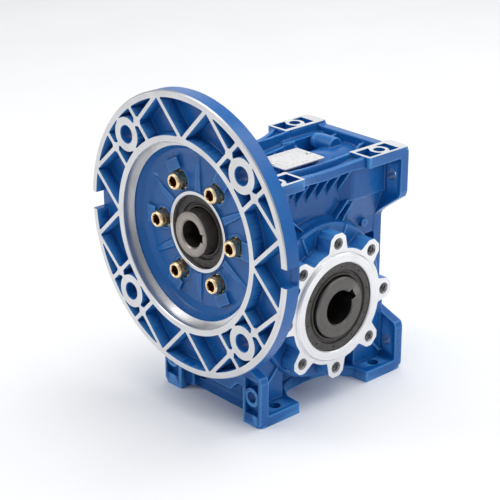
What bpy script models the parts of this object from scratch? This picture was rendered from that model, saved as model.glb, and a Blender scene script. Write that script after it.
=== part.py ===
"""Worm gearbox, size 63, with a round motor flange and a hollow output shaft.

Frame: the origin is on the foot plane, straight under the output axis. +X runs along the output
shaft, the worm runs along Y with the motor flange at -Y, and +Z is up.
Lengths are in millimetres; every mesh is scaled to metres when its object is made.
"""
from math import acos, atan2, ceil, cos, hypot, pi, radians, sin, tan

import bmesh
import bpy
from mathutils import Matrix

MM = 0.001
GAP = 0.3                      # clearance between touching pieces
ROUND = 32                     # sides of a large round piece
FLANGE_ROUND = 40              # sides of the motor flange
SMALL_ROUND = 20               # sides of a bearing ring
HOLE_ROUND = 8                 # sides of a screw and its hole
OVERSHOOT = 1.0                # how far a cutter runs past the face it cuts

# Driving dimensions of the size 63 family
CENTRE_DISTANCE = 63.0
OUTPUT_Z = 72.0
WORM_Z = OUTPUT_Z + CENTRE_DISTANCE
HEIGHT = 174.0
HALF_LENGTH = 72.0
HALF_WIDTH = 51.5
PLATE = 8.0
BOLT_X = 42.5
BOLT_Y = 50.0
BOLT_HOLE_R = 4.25
PAD_INNER_X = 33.0
PAD_INNER_Y = 31.0
PAD_HEIGHT = 38.0
PAD_BOLT_Z = 22.0
CORNER_R = 5.0

# Worm and wheel
MODULE = 3.25
WHEEL_TEETH = 30
WORM_PITCH_R = 14.25
WHEEL_PITCH_R = CENTRE_DISTANCE - WORM_PITCH_R
AXIAL_PITCH = pi * MODULE
PRESSURE_ANGLE = radians(20)
BACKLASH = 0.5
WORM_TIP_R = WORM_PITCH_R + MODULE
WORM_ROOT_R = WORM_PITCH_R - 1.2 * MODULE
WHEEL_TIP_R = WHEEL_PITCH_R + MODULE
WHEEL_ROOT_R = WHEEL_PITCH_R - 1.2 * MODULE
WHEEL_HALF_WIDTH = 13.0
WHEEL_BORE_R = 38.0
LEAD_ANGLE_TAN = AXIAL_PITCH / (2 * pi * WORM_PITCH_R)
THREAD_TURNS = 5.0
THREAD_STEPS = 16              # straight steps in one turn of the thread
THREAD_SHIFT = 0.3             # of a step, which keeps its corners off the root cylinder's edges

# Output side: drum, lobed face, pilot ring, seal and bearing
DRUM_FACE_X = 39.0
DRUM_EDGE_R = 57.5
DRUM_RIDGE_X = 28.0
DRUM_RIDGE_R = 60.0
CAVITY_R = 54.0
CAVITY_END_X = 26.0
LOBE_FACE_X = 53.0
LOBE_COUNT = 8
LOBE_ROOT_R = 43.0
LOBE_TIP_R = 55.0
LOBE_PCD_R = 47.5
LOBE_HOLE_R = 3.6
LOBE_HOLE_DEPTH = 14.0
PILOT_R = 40.0
PILOT_X = 55.0
OUTPUT_SHAFT_R = 22.5
OUTPUT_SHAFT_X = 56.0
OUTPUT_BORE_R = 12.5
OUTPUT_KEY_WIDTH = 8.0
OUTPUT_KEY_TOP = 15.8
OUTPUT_KEY_ANGLE = radians(30)
OUTPUT_BEARING = (22.5, 37.5, 16.0)      # inner radius, outer radius, width
OUTPUT_BEARING_X = 28.0
OUTPUT_SEAL_R = 32.5
SEAL_WIDTH = 8.0
SEAL_FACE_X = 53.6

# Input side: flange, worm shaft, seal and bearings, measured outwards along -Y
FLANGE_R = 100.0
FLANGE_FACE = 95.0
FLANGE_SEAT_R = 46.0
HOUSING_SEAT_R = 38.5
SCREW_BOSS_R = 6.3
RIM_INNER_R = 95.5
RING_OUTER_R = 69.5
SPIGOT_R = 65.0
SPIGOT_DEPTH = 7.4
POCKET_DEPTH = 10.0
FLOOR_OUT = 80.0
HUB_R = 28.5
HUB_BORE_R = 26.0
FLANGE_BOSS_R = 12.0
FLANGE_BOLT_R = 82.5
FLANGE_BOLT_HOLE_R = 6.0
RIB_WIDTH = 2.6
NOTCH_HALF = 6.5
CAP_SCREW_PCD_R = 37.5
CAP_SCREW_COUNT = 6
CAP_SCREW_R = 4.0
CAP_HEAD_R = 6.5
CAP_HEAD_LENGTH = 8.0
CAP_SEAT_OUT = 77.0
SPRING_WASHER = 2.2
SHAFT_END_OUT = 88.5
SHAFT_END_R = 16.0
INPUT_BORE_R = 9.5
INPUT_BORE_BOTTOM = 45.0
INPUT_KEY_WIDTH = 6.0
INPUT_KEY_TOP = 12.3
FRONT_BEARING = (16.0, 29.0, 13.0)
FRONT_BEARING_OUT = 54.0
REAR_BEARING = (10.0, 23.5, 14.0)
REAR_BEARING_Y = 50.0
TUBE_R = 30.0
CIRCLIP = 1.75
NAMEPLATE_Z = 166.0

# Side cover on the far side
COVER_SCREW_R = 58.0
COVER_SCREW_COUNT = 8
COVER_SCREW_TURN = pi / 8      # half way between two lobes
EAR_R = 6.5
COVER_FACE = 45.0
M6_R = 3.0
M6_HEAD_R = 5.0

ROOT_SECTION = 1.0             # how far joined solids reach into each other

OUTPUT_FRAME = Matrix.Translation((0, 0, OUTPUT_Z)) @ Matrix(((0, 0, 1, 0), (1, 0, 0, 0),
                                                              (0, 1, 0, 0), (0, 0, 0, 1)))
COVER_FRAME = Matrix.Translation((0, 0, OUTPUT_Z)) @ Matrix(((0, 0, -1, 0), (-1, 0, 0, 0),
                                                             (0, 1, 0, 0), (0, 0, 0, 1)))
INPUT_FRAME = Matrix.Translation((0, 0, WORM_Z)) @ Matrix(((1, 0, 0, 0), (0, 0, -1, 0),
                                                           (0, 1, 0, 0), (0, 0, 0, 1)))

# ---------------------------------------------------------------- materials

FINISHES = {                   # colour, roughness, metallic
    "blue_paint": ((0.02, 0.13, 0.42), 0.38, 0.0),
    "bare_aluminium": ((0.78, 0.78, 0.78), 0.35, 1.0),
    "shaft_steel": ((0.30, 0.28, 0.27), 0.4, 1.0),
    "bearing_steel": ((0.55, 0.56, 0.58), 0.2, 1.0),
    "yellow_zinc": ((0.72, 0.52, 0.22), 0.3, 1.0),
    "dark_steel": ((0.12, 0.12, 0.13), 0.45, 1.0),
    "bronze": ((0.55, 0.35, 0.12), 0.35, 1.0),
    "seal_rubber": ((0.025, 0.025, 0.03), 0.6, 0.0),
    "cage_polymer": ((0.16, 0.13, 0.10), 0.6, 0.0),
    "plate_aluminium": ((0.75, 0.76, 0.78), 0.45, 0.8),
}


def material(finish):
    """One Principled material for each finish, made once."""
    if finish in bpy.data.materials:
        return bpy.data.materials[finish]
    colour, roughness, metallic = FINISHES[finish]
    made = bpy.data.materials.new(finish)
    made.use_nodes = True
    shader = made.node_tree.nodes["Principled BSDF"]
    shader.inputs["Base Color"].default_value = (*colour, 1.0)
    shader.inputs["Roughness"].default_value = roughness
    shader.inputs["Metallic"].default_value = metallic
    made.diffuse_color = (*colour, 1.0)
    return made


# ---------------------------------------------------------------- shapes

def prism(outline, low, high):
    """The outline in the XY plane, extruded along Z from low to high."""
    bm = bmesh.new()
    face = bm.faces.new([bm.verts.new((x, y, low)) for x, y in outline])
    grown = bmesh.ops.extrude_face_region(bm, geom=[face])["geom"]
    top = [item for item in grown if isinstance(item, bmesh.types.BMVert)]
    bmesh.ops.translate(bm, vec=(0, 0, high - low), verts=top)
    bmesh.ops.recalc_face_normals(bm, faces=bm.faces)
    return bm


def turned(profile, sides=ROUND):
    """A closed profile of (radius, height) points, spun about Z."""
    bm = bmesh.new()
    points = [bm.verts.new((radius, 0, height)) for radius, height in profile]
    pairs = zip(points, points[1:] + points[:1])
    edges = [bm.edges.new(pair) for pair in pairs if max(pair[0].co.x, pair[1].co.x) > 0]
    bmesh.ops.spin(bm, geom=points + edges, cent=(0, 0, 0), axis=(0, 0, 1), steps=sides,
                   angle=2 * pi, use_merge=True)
    bmesh.ops.remove_doubles(bm, verts=bm.verts, dist=1e-4)
    bmesh.ops.recalc_face_normals(bm, faces=bm.faces)
    return bm


def disc(radius, low, high, sides=ROUND):
    return turned([(0, low), (radius, low), (radius, high), (0, high)], sides)


def tube(inner, outer, low, high, sides=ROUND):
    return turned([(inner, low), (outer, low), (outer, high), (inner, high)], sides)


def box(low, high):
    x0, y0, z0 = low
    x1, y1, z1 = high
    return prism([(x0, y0), (x1, y0), (x1, y1), (x0, y1)], z0, z1)


def placed(bm, matrix):
    bmesh.ops.transform(bm, matrix=matrix, verts=bm.verts)
    if matrix.determinant() < 0:
        bmesh.ops.reverse_faces(bm, faces=bm.faces)
    return bm


def moved(bm, x=0.0, y=0.0, z=0.0):
    return placed(bm, Matrix.Translation((x, y, z)))


def copied(bm, matrix):
    return placed(bm.copy(), matrix)


def joined(*parts):
    """All parts in one mesh, still as separate bodies."""
    whole = bmesh.new()
    for part in parts:
        mesh = bpy.data.meshes.new("joining")
        part.to_mesh(mesh)
        whole.from_mesh(mesh)
        bpy.data.meshes.remove(mesh)
        part.free()
    return whole


def around(bm, count, start=0.0):
    """Copies of a mesh, evenly spaced about Z, with the first at the start angle."""
    turns = [Matrix.Rotation(start + 2 * pi * index / count, 4, "Z") for index in range(count)]
    copies = [copied(bm, turn) for turn in turns]
    bm.free()
    return joined(*copies)


def mirrored_corners(bm):
    """A mesh in the +X +Y quarter, repeated in all four quarters."""
    quarters = [Matrix.Diagonal((sx, sy, 1, 1)) for sx in (1, -1) for sy in (1, -1)]
    copies = [copied(bm, quarter) for quarter in quarters]
    bm.free()
    return joined(*copies)


def arc(centre, radius, start, end, steps):
    """Points on a circle, from the start angle to the end angle, in degrees."""
    turn = [radians(start + (end - start) * index / steps) for index in range(steps + 1)]
    return [(centre[0] + radius * cos(a), centre[1] + radius * sin(a)) for a in turn]


def rounded_rectangle(low, high, radius, steps=3):
    corners = [((high[0] - radius, high[1] - radius), 0), ((low[0] + radius, high[1] - radius), 90),
               ((low[0] + radius, low[1] + radius), 180), ((high[0] - radius, low[1] + radius), 270)]
    return [point for centre, turn in corners for point in arc(centre, radius, turn, turn + 90, steps)]


# ---------------------------------------------------------------- objects

def put(item, frame):
    """Places an object by a frame in millimetres."""
    location, rotation, _ = frame.decompose()
    item.location = location * MM
    item.rotation_euler = rotation.to_euler()


def metre_mesh(name, bm):
    """A smooth-shaded mesh in metres; the bmesh is used up."""
    bmesh.ops.scale(bm, vec=(MM, MM, MM), verts=bm.verts)
    mesh = bpy.data.meshes.new(name)
    bm.to_mesh(mesh)
    bm.free()
    mesh.shade_smooth()
    mesh.set_sharp_from_angle(angle=radians(35))
    return mesh


def make_object(name, bm, finish, frame=Matrix.Identity(4), parent=None):
    """One object, placed by a frame, or by its parent empty's frame."""
    mesh = metre_mesh(name, bm)
    mesh.materials.append(material(finish))
    made = bpy.data.objects.new(name, mesh)
    bpy.context.scene.collection.objects.link(made)
    if parent is None:
        put(made, frame)
    made.parent = parent
    return made


def boolean(owner, bm, operation):
    """A Boolean step, whose hidden tool object stays in the owner's own frame."""
    tool = make_object(owner.name + "." + operation.lower(), bm, "bare_aluminium", parent=owner.parent)
    tool.location = owner.location
    tool.rotation_euler = owner.rotation_euler
    tool.hide_render = True
    tool.display_type = "WIRE"
    step = owner.modifiers.new(operation.lower(), "BOOLEAN")
    step.operation = operation
    step.solver = "EXACT"
    step.use_self = True
    step.object = tool
    return tool


def fused_object(name, solid, additions, cuts, finish, frame=Matrix.Identity(4), parent=None):
    """A first solid with others added to it and cutters taken away from it."""
    made = make_object(name, solid, finish, frame, parent)
    if additions:
        boolean(made, joined(*additions), "UNION")
    if cuts:
        boolean(made, joined(*cuts), "DIFFERENCE")
    return made


def shared_mesh(name, solid, additions=(), cuts=()):
    """The finished mesh of a piece that is used several times."""
    sample = make_object(name, solid, "bare_aluminium")
    tools = []
    if additions:
        tools.append(boolean(sample, joined(*additions), "UNION"))
    if cuts:
        tools.append(boolean(sample, joined(*cuts), "DIFFERENCE"))
    view = bpy.context.evaluated_depsgraph_get()
    mesh = bpy.data.meshes.new_from_object(sample.evaluated_get(view))
    mesh.materials.clear()
    for item in (sample, *tools):
        bpy.data.objects.remove(item)
    return mesh


def axis_empty(name, frame):
    """An empty on a joint's axis, with its Z along the axis."""
    empty = bpy.data.objects.new(name, None)
    bpy.context.scene.collection.objects.link(empty)
    put(empty, frame)
    return empty


# ---------------------------------------------------------------- housing

def end_plate_outline():
    """The front or rear plate, seen along Y: wide at the pads, narrow at the waist."""
    half = [(0, 20), (20, 20), (27, 27), (PAD_INNER_X, 27), (PAD_INNER_X, 4)]
    half += arc((HALF_WIDTH - CORNER_R, CORNER_R), CORNER_R, -90, 0, 3)
    half += [(HALF_WIDTH, PAD_HEIGHT), (30, 44), (27, 48), (27, 118), (30, 124)]
    half += [(HALF_WIDTH, HEIGHT - PAD_HEIGHT)]
    half += arc((HALF_WIDTH - CORNER_R, HEIGHT - CORNER_R), CORNER_R, 0, 90, 3)
    half += [(PAD_INNER_X, HEIGHT), (PAD_INNER_X - 2, HEIGHT - 2.5), (0, HEIGHT - 2.5)]
    other = [(-x, z) for x, z in reversed(half[1:-1])]
    return half + other


def end_plates():
    """Both end plates; the outline's XY plane is turned to stand in XZ."""
    upright = Matrix(((1, 0, 0, 0), (0, 0, -1, 0), (0, 1, 0, 0), (0, 0, 0, 1)))
    rear = placed(prism(end_plate_outline(), -HALF_LENGTH, PLATE - HALF_LENGTH), upright)
    front = copied(rear, Matrix.Diagonal((1, -1, 1, 1)))
    return [rear, front]


def foot_plate():
    """Bottom plate: four feet, bays cut in between them on all four sides."""
    bay = [(HALF_WIDTH, 34), (38, 33)] + arc((40, 12), 19, 130, 180, 3) + [(20, 0)]
    front = [(PAD_INNER_X, 61), (PAD_INNER_X, HALF_LENGTH - 2)]
    corner = arc((HALF_WIDTH - CORNER_R, HALF_LENGTH - CORNER_R), CORNER_R, 90, 0, 3)
    quarter = [(0, 60), (28, 60)] + front + corner + bay
    right = quarter + [(x, -y) for x, y in reversed(quarter[:-1])]
    left = [(-x, y) for x, y in reversed(right[1:-1])]
    return prism(right + left, 0, PLATE)


def top_frame():
    """Four top pads, and the side rails that join them front to rear."""
    pad = rounded_rectangle((PAD_INNER_X - 2, PAD_INNER_Y - 1), (HALF_WIDTH, HALF_LENGTH - 1), 3, 2)
    pads = mirrored_corners(prism(pad, HEIGHT - PLATE, HEIGHT))
    outline = [(26, 0), (26, 32), (HALF_WIDTH - 4, 32), (44, 24), (42, 12), (41.5, 0)]
    outline += [(x, -y) for x, y in reversed(outline[1:-1])]
    rail = prism(outline, 162, 169.5)
    return [pads, rail, copied(rail, Matrix.Rotation(pi, 4, "Z"))]


def corner_walls():
    """The inner walls and gussets that close each foot and each top pad."""
    lower = mirrored_corners(box((26, 36, 3), (36, 66, 60)))
    upper = mirrored_corners(box((24, 38, 112), (36, 66, 170)))
    shelf = mirrored_corners(box((24, 20, 150), (34, 40, 165)))
    return [lower, upper, shelf]


def drum():
    """Wheel drum about the output axis, tapered to both faces."""
    side = [(DRUM_EDGE_R, DRUM_FACE_X), (DRUM_RIDGE_R, DRUM_RIDGE_X)]
    profile = [(0, DRUM_FACE_X)] + side + [(r, -x) for r, x in reversed(side)] + [(0, -DRUM_FACE_X)]
    return turned(profile)


def lobed_outline():
    """Round face with eight lobes that carry the tapped holes, as an outline about Z."""
    lobe = [(41.8, -9.0), (51.6, -7.2), (LOBE_TIP_R, -3.6), (LOBE_TIP_R, 3.6), (51.6, 7.2), (41.8, 9.0)]
    outline = []
    for index in range(LOBE_COUNT):
        angle = 2 * pi * index / LOBE_COUNT
        outline += [(r * cos(angle) - t * sin(angle), r * sin(angle) + t * cos(angle)) for r, t in lobe]
        middle = angle + pi / LOBE_COUNT
        outline.append((LOBE_ROOT_R * cos(middle), LOBE_ROOT_R * sin(middle)))
    return outline


def lobed_neck(start):
    """The lobed face plate and its pilot ring, from a start height out to the pilot face."""
    plate = prism(lobed_outline(), start, LOBE_FACE_X)
    pilot = tube(OUTPUT_SEAL_R + 2.5, PILOT_R, LOBE_FACE_X - ROOT_SECTION, PILOT_X)
    return [plate, pilot]


def lobe_holes():
    hole = disc(LOBE_HOLE_R, LOBE_FACE_X - LOBE_HOLE_DEPTH, PILOT_X, HOLE_ROUND)
    return around(moved(hole, x=LOBE_PCD_R), LOBE_COUNT)


def worm_tube():
    """Worm tube with its widened front seat, turned about the worm axis (heights run to -Y)."""
    return turned([(0, -HALF_LENGTH), (TUBE_R, -HALF_LENGTH), (TUBE_R, 46), (HOUSING_SEAT_R, 56),
                   (HOUSING_SEAT_R, HALF_LENGTH), (0, HALF_LENGTH)])


def worm_bores():
    """Bearing bores, circlip grooves and the worm's own space, all about the worm axis."""
    front_r = FRONT_BEARING[1] + GAP
    rear_r = REAR_BEARING[1] + GAP
    rear = -REAR_BEARING_Y
    front_groove = FRONT_BEARING_OUT + FRONT_BEARING[2] + GAP
    rear_groove = rear - REAR_BEARING[2] - GAP
    ends = (-HALF_LENGTH - OVERSHOOT, HALF_LENGTH + OVERSHOOT)
    groove = CIRCLIP + GAP
    deep = 1.6
    profile = [(0, ends[0]), (rear_r, ends[0]), (rear_r, rear_groove - groove),
               (rear_r + deep, rear_groove - groove), (rear_r + deep, rear_groove),
               (rear_r, rear_groove), (rear_r, rear + GAP), (19.5, rear + GAP),
               (19.5, FRONT_BEARING_OUT - GAP - 2), (front_r - 5, FRONT_BEARING_OUT - GAP - 2),
               (front_r - 5, FRONT_BEARING_OUT - GAP), (front_r, FRONT_BEARING_OUT - GAP),
               (front_r, front_groove), (front_r + deep, front_groove),
               (front_r + deep, front_groove + groove), (front_r, front_groove + groove),
               (front_r, ends[1]), (0, ends[1])]
    return turned(profile, SMALL_ROUND)


def wheel_space():
    """The wheel's cavity, the bearing bore and the seal bore, about the output axis."""
    bearing_end = OUTPUT_BEARING_X + OUTPUT_BEARING[2] + GAP
    profile = [(0, -DRUM_FACE_X - OVERSHOOT), (CAVITY_R, -DRUM_FACE_X - OVERSHOOT),
               (CAVITY_R, CAVITY_END_X), (OUTPUT_BEARING[1] + GAP, CAVITY_END_X),
               (OUTPUT_BEARING[1] + GAP, bearing_end), (OUTPUT_SEAL_R + GAP, bearing_end),
               (OUTPUT_SEAL_R + GAP, PILOT_X + OVERSHOOT), (0, PILOT_X + OVERSHOOT)]
    return turned(profile)


def pad_pockets():
    """The two shallow pockets beside the bolt hole of every pad, on top and on both ends."""
    depth = 4.0
    near = box((36.5, 36, HEIGHT - depth), (48, 41.5, HEIGHT + OVERSHOOT))
    far = box((36.5, 58.5, HEIGHT - depth), (48, 63, HEIGHT + OVERSHOOT))
    top = mirrored_corners(joined(near, far))
    ends = []
    for low, high in ((7, 12), (30, 35)):
        for base in (low, HEIGHT - high):
            top_z = base + high - low
            slot = box((37, HALF_LENGTH - depth, base), (48.5, HALF_LENGTH + OVERSHOOT, top_z))
            ends.append(mirrored_corners(slot))
    return [top, *ends]


def bolt_holes():
    """Bolt holes through the feet, the top pads and the four pads of each end plate."""
    foot = moved(disc(BOLT_HOLE_R, -OVERSHOOT, PLATE + OVERSHOOT, HOLE_ROUND), BOLT_X, BOLT_Y)
    top = moved(disc(BOLT_HOLE_R, HEIGHT - PLATE - OVERSHOOT, HEIGHT + OVERSHOOT, HOLE_ROUND),
                BOLT_X, BOLT_Y)
    holes = [mirrored_corners(foot), mirrored_corners(top)]
    for height in (PAD_BOLT_Z, HEIGHT - PAD_BOLT_Z):
        hole = disc(BOLT_HOLE_R, HALF_LENGTH - PLATE - OVERSHOOT, HALF_LENGTH + OVERSHOOT, HOLE_ROUND)
        hole = placed(hole, Matrix.Rotation(-pi / 2, 4, "X"))
        holes.append(mirrored_corners(moved(hole, BOLT_X, 0, height)))
    return holes


FILLER_CENTRE = (52.0, 165.0)            # Y and Z of the filler boss, whose axis lies along X
FILLER_SEAT = 18.0                       # measured along -X
FILLER_BOSS_R = 6.5
DRAIN_SEAT = -6.0                        # measured along -Z, so the seat lies above the foot plane
DRAIN_Y = 46.0
PLUG_R = 4.0
PLUG_HEAD_R = 5.5
PLUG_LENGTH = 9.0

FILLER_FRAME = Matrix.Translation((0, *FILLER_CENTRE)) @ COVER_FRAME.to_3x3().to_4x4()
DRAIN_FRAME = Matrix.Translation((0, DRAIN_Y, 0)) @ Matrix.Rotation(pi, 4, "X")


def cover_ring(bm):
    """A copy at each side cover screw, turned to the drum's far side."""
    ring = around(moved(bm, x=COVER_SCREW_R), COVER_SCREW_COUNT, COVER_SCREW_TURN)
    return placed(ring, Matrix.Diagonal((-1, 1, -1, 1)))


def housing():
    """The one-piece casting with every machined face and hole."""
    body = box((-28, -38, 60), (28, 38, 140))
    base = box((-20, -59.5, 2), (20, 59.5, 60))
    solids = [drum(), *lobed_neck(CAVITY_END_X)]
    solids.append(cover_ring(disc(EAR_R, 20, DRUM_FACE_X, HOLE_ROUND)))
    output_side = [placed(solid, OUTPUT_FRAME) for solid in solids]
    screw_boss = moved(disc(SCREW_BOSS_R, 50, HALF_LENGTH, HOLE_ROUND), x=CAP_SCREW_PCD_R)
    screw_bosses = around(screw_boss, CAP_SCREW_COUNT)
    input_side = [placed(worm_tube(), INPUT_FRAME), placed(screw_bosses, INPUT_FRAME)]
    web = box((-14, -65, 40), (14, 65, 130))
    plate_seat = [box((-17, -18, 150), (17, 28, NAMEPLATE_Z))]
    filler = [placed(disc(FILLER_BOSS_R, 2, FILLER_SEAT, SMALL_ROUND), FILLER_FRAME)]
    additions = [foot_plate(), *end_plates(), *top_frame(), *corner_walls(), base, web]
    additions += output_side + input_side + plate_seat + filler

    ear_holes = cover_ring(disc(M6_R + GAP, 24, DRUM_FACE_X + OVERSHOOT, HOLE_ROUND))
    output_cuts = [placed(cut, OUTPUT_FRAME) for cut in (wheel_space(), lobe_holes(), ear_holes)]
    screw_hole = disc(CAP_SCREW_R + GAP, 54, HALF_LENGTH + OVERSHOOT, HOLE_ROUND)
    input_cuts = [worm_bores(), around(moved(screw_hole, x=CAP_SCREW_PCD_R), CAP_SCREW_COUNT)]
    input_cuts = [placed(cut, INPUT_FRAME) for cut in input_cuts]
    filler_hole = disc(PLUG_R + GAP, FILLER_SEAT - 14, FILLER_SEAT + OVERSHOOT, HOLE_ROUND)
    drain_hole = disc(PLUG_R + GAP, DRAIN_SEAT - 14, DRAIN_SEAT + OVERSHOOT, HOLE_ROUND)
    drain_recess = disc(PLUG_HEAD_R + 3, DRAIN_SEAT, OVERSHOOT, HOLE_ROUND)
    plug_cuts = [placed(filler_hole, FILLER_FRAME), placed(drain_hole, DRAIN_FRAME),
                 placed(drain_recess, DRAIN_FRAME)]
    cuts = output_cuts + input_cuts + plug_cuts + pad_pockets() + bolt_holes()
    return fused_object("housing", body, additions, cuts, "blue_paint")


# ---------------------------------------------------------------- motor flange

RIB_ENDS = (                             # the ribs of one eighth of the lattice
    ((0.0, 68.0), (-25.5, 94.5)),
    ((-24.5, 94.5), (-54.0, 62.3)),
    ((-56.0, 80.5), (-35.0, 59.0)),
)
RIB_NODE = (-46.5, 70.3)
RIB_NODE_R = 3.2


def rib(start, end, low, high, width=RIB_WIDTH):
    """A straight rib between two points of the XY plane."""
    length = hypot(end[0] - start[0], end[1] - start[1])
    bar = box((0, -width / 2, low), (length, width / 2, high))
    turn = Matrix.Rotation(atan2(end[1] - start[1], end[0] - start[0]), 4, "Z")
    return placed(bar, Matrix.Translation((*start, 0)) @ turn)


def flange_lattice(floor):
    """Crossing ribs between the inner ring and the rim, and the four bolt bosses."""
    eighth = [rib(start, end, floor - ROOT_SECTION, FLANGE_FACE) for start, end in RIB_ENDS]
    eighth.append(moved(disc(RIB_NODE_R, floor - ROOT_SECTION, FLANGE_FACE, 6), *RIB_NODE))
    mirror = [copied(part, Matrix.Diagonal((-1, 1, 1, 1))) for part in eighth]
    lattice = around(joined(*eighth, *mirror), 4)
    boss = moved(disc(FLANGE_BOSS_R, floor - ROOT_SECTION, FLANGE_FACE, 16), x=FLANGE_BOLT_R)
    return [lattice, around(boss, 4, pi / 4)]


def flange_floor():
    """Screw bosses and stiffening ribs on the floor of the bowl."""
    root = FLOOR_OUT - 2
    boss = moved(disc(9.5, root, FLOOR_OUT + 1.5, HOLE_ROUND), x=CAP_SCREW_PCD_R)
    top = FLOOR_OUT + 2.2
    low = root + 0.6
    side = [(HUB_R - 1, low), (57, low), (54, FLOOR_OUT + 0.4), (48, top), (HUB_R - 1, top)]
    stiffener = placed(prism(side, -1.25, 1.25), Matrix.Rotation(pi / 2, 4, "X"))
    return [around(boss, CAP_SCREW_COUNT), around(stiffener, CAP_SCREW_COUNT, pi / CAP_SCREW_COUNT)]


def input_flange():
    floor = FLANGE_FACE - POCKET_DEPTH
    ledge = FLANGE_FACE - SPIGOT_DEPTH
    seat = HALF_LENGTH + GAP
    profile = [(HUB_BORE_R, seat), (FLANGE_SEAT_R, seat), (RING_OUTER_R, 79.5),
               (97, 82), (FLANGE_R, 86), (FLANGE_R, FLANGE_FACE),
               (RIM_INNER_R, FLANGE_FACE), (RIM_INNER_R, floor), (RING_OUTER_R, floor),
               (RING_OUTER_R, FLANGE_FACE), (SPIGOT_R, FLANGE_FACE), (SPIGOT_R, ledge),
               (62.5, ledge), (57, FLOOR_OUT), (HUB_R, FLOOR_OUT),
               (HUB_R, FLOOR_OUT + 2.5), (HUB_BORE_R, FLOOR_OUT + 2.5)]
    bolt_hole = disc(FLANGE_BOLT_HOLE_R, 75, FLANGE_FACE + OVERSHOOT, HOLE_ROUND)
    screw_r = CAP_SCREW_R + GAP
    head_r = CAP_HEAD_R + 2 * GAP
    screw_hole = turned([(0, 70), (screw_r, 70), (screw_r, CAP_SEAT_OUT), (head_r, CAP_SEAT_OUT),
                         (head_r, FLANGE_FACE), (0, FLANGE_FACE)], HOLE_ROUND)
    notch = box((RIM_INNER_R - 1, -NOTCH_HALF, floor),
                (FLANGE_R + OVERSHOOT, NOTCH_HALF, FLANGE_FACE + OVERSHOOT))
    cuts = [around(moved(bolt_hole, x=FLANGE_BOLT_R), 4, pi / 4),
            around(moved(screw_hole, x=CAP_SCREW_PCD_R), CAP_SCREW_COUNT),
            around(notch, 2)]
    additions = flange_lattice(floor) + flange_floor()
    solid = turned(profile, FLANGE_ROUND)
    return fused_object("input_flange", solid, additions, cuts, "blue_paint", INPUT_FRAME)


def cap_screw(radius, head_radius, head_length, tip):
    """Socket-head cap screw along Z: the shank ends at the tip and the head stands on Z = 0."""
    socket_r = head_radius * 0.52
    outer = turned([(0, tip), (radius, tip), (radius, 0), (head_radius, 0), (head_radius, head_length),
                    (socket_r + 0.01, head_length), (0, head_length)], HOLE_ROUND)
    socket = disc(socket_r, head_length / 2, head_length + OVERSHOOT, 6)
    return shared_mesh("cap_screw", outer, [], [socket])


def ring_of_frames(frame, radius, height, count, start=0.0):
    """Frames spaced evenly on a circle about another frame's Z."""
    turns = [start + 2 * pi * index / count for index in range(count)]
    out = Matrix.Translation((radius, 0, height))
    return [frame @ Matrix.Rotation(turn, 4, "Z") @ out for turn in turns]


def repeated(name, mesh, finish, frames):
    """Objects that share one mesh, numbered from 1."""
    mesh.materials.append(material(finish))
    for number, frame in enumerate(frames, 1):
        copy = bpy.data.objects.new(f"{name}_{number}", mesh)
        bpy.context.scene.collection.objects.link(copy)
        put(copy, frame)


def flange_fasteners():
    seat = CAP_SEAT_OUT + GAP
    head_seat = seat + SPRING_WASHER + GAP
    screw = cap_screw(CAP_SCREW_R, CAP_HEAD_R, CAP_HEAD_LENGTH, 56 - head_seat)
    repeated("input_flange_screw", screw, "yellow_zinc",
             ring_of_frames(INPUT_FRAME, CAP_SCREW_PCD_R, head_seat, CAP_SCREW_COUNT))
    ring = tube(CAP_SCREW_R + GAP, CAP_HEAD_R, 0, SPRING_WASHER, HOLE_ROUND)
    washer = shared_mesh("spring_washer", ring)
    repeated("input_flange_washer", washer, "yellow_zinc",
             ring_of_frames(INPUT_FRAME, CAP_SCREW_PCD_R, seat, CAP_SCREW_COUNT))


# ---------------------------------------------------------------- side cover

def side_cover():
    """Bolted cover that closes the drum and carries the far bearing and seal."""
    bearing_end = OUTPUT_BEARING_X + OUTPUT_BEARING[2] + GAP
    spigot_r = CAVITY_R - GAP
    seat = DRUM_FACE_X + GAP
    profile = [(OUTPUT_BEARING[1] + GAP, 27), (46, 27), (46, 33), (spigot_r, 33), (spigot_r, 34.4),
               (spigot_r - 2.4, 34.4), (spigot_r - 2.4, 37.6), (spigot_r, 37.6), (spigot_r, seat),
               (DRUM_EDGE_R, seat), (DRUM_EDGE_R, COVER_FACE), (OUTPUT_BORE_R, COVER_FACE),
               (OUTPUT_BORE_R, bearing_end), (OUTPUT_BEARING[1] + GAP, bearing_end)]
    ear = moved(disc(EAR_R, seat, COVER_FACE, HOLE_ROUND), x=COVER_SCREW_R)
    hole = moved(disc(M6_R + GAP, 30, PILOT_X, HOLE_ROUND), x=COVER_SCREW_R)
    ears, holes = (around(part, COVER_SCREW_COUNT, COVER_SCREW_TURN) for part in (ear, hole))
    bore = disc(OUTPUT_SEAL_R + GAP, bearing_end - OVERSHOOT, PILOT_X + OVERSHOOT)
    fused_object("side_cover", turned(profile), [ears, *lobed_neck(COVER_FACE - ROOT_SECTION / 2)],
                 [holes, bore, lobe_holes()], "blue_paint", COVER_FRAME)
    head_seat = COVER_FACE + GAP
    screw = cap_screw(M6_R, M6_HEAD_R, 6.0, 26 - head_seat)
    repeated("side_cover_screw", screw, "dark_steel",
             ring_of_frames(COVER_FRAME, COVER_SCREW_R, head_seat, COVER_SCREW_COUNT, COVER_SCREW_TURN))
    ring_centre = (spigot_r - 1.05, 36.0)
    section = arc(ring_centre, 0.95, 0, 288, 4)
    make_object("side_cover_o_ring", turned(section), "seal_rubber", COVER_FRAME)


# ---------------------------------------------------------------- bearings and seals

def groove_arc(pitch_r, ball_r, middle, inward):
    """Three points of a ball groove, cut into the ring on one side of the pitch circle."""
    radius = ball_r + GAP + 0.2
    spread = 38
    side = 180 if inward else 0
    return arc((pitch_r, middle), radius, side - spread, side + spread, 2)


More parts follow.
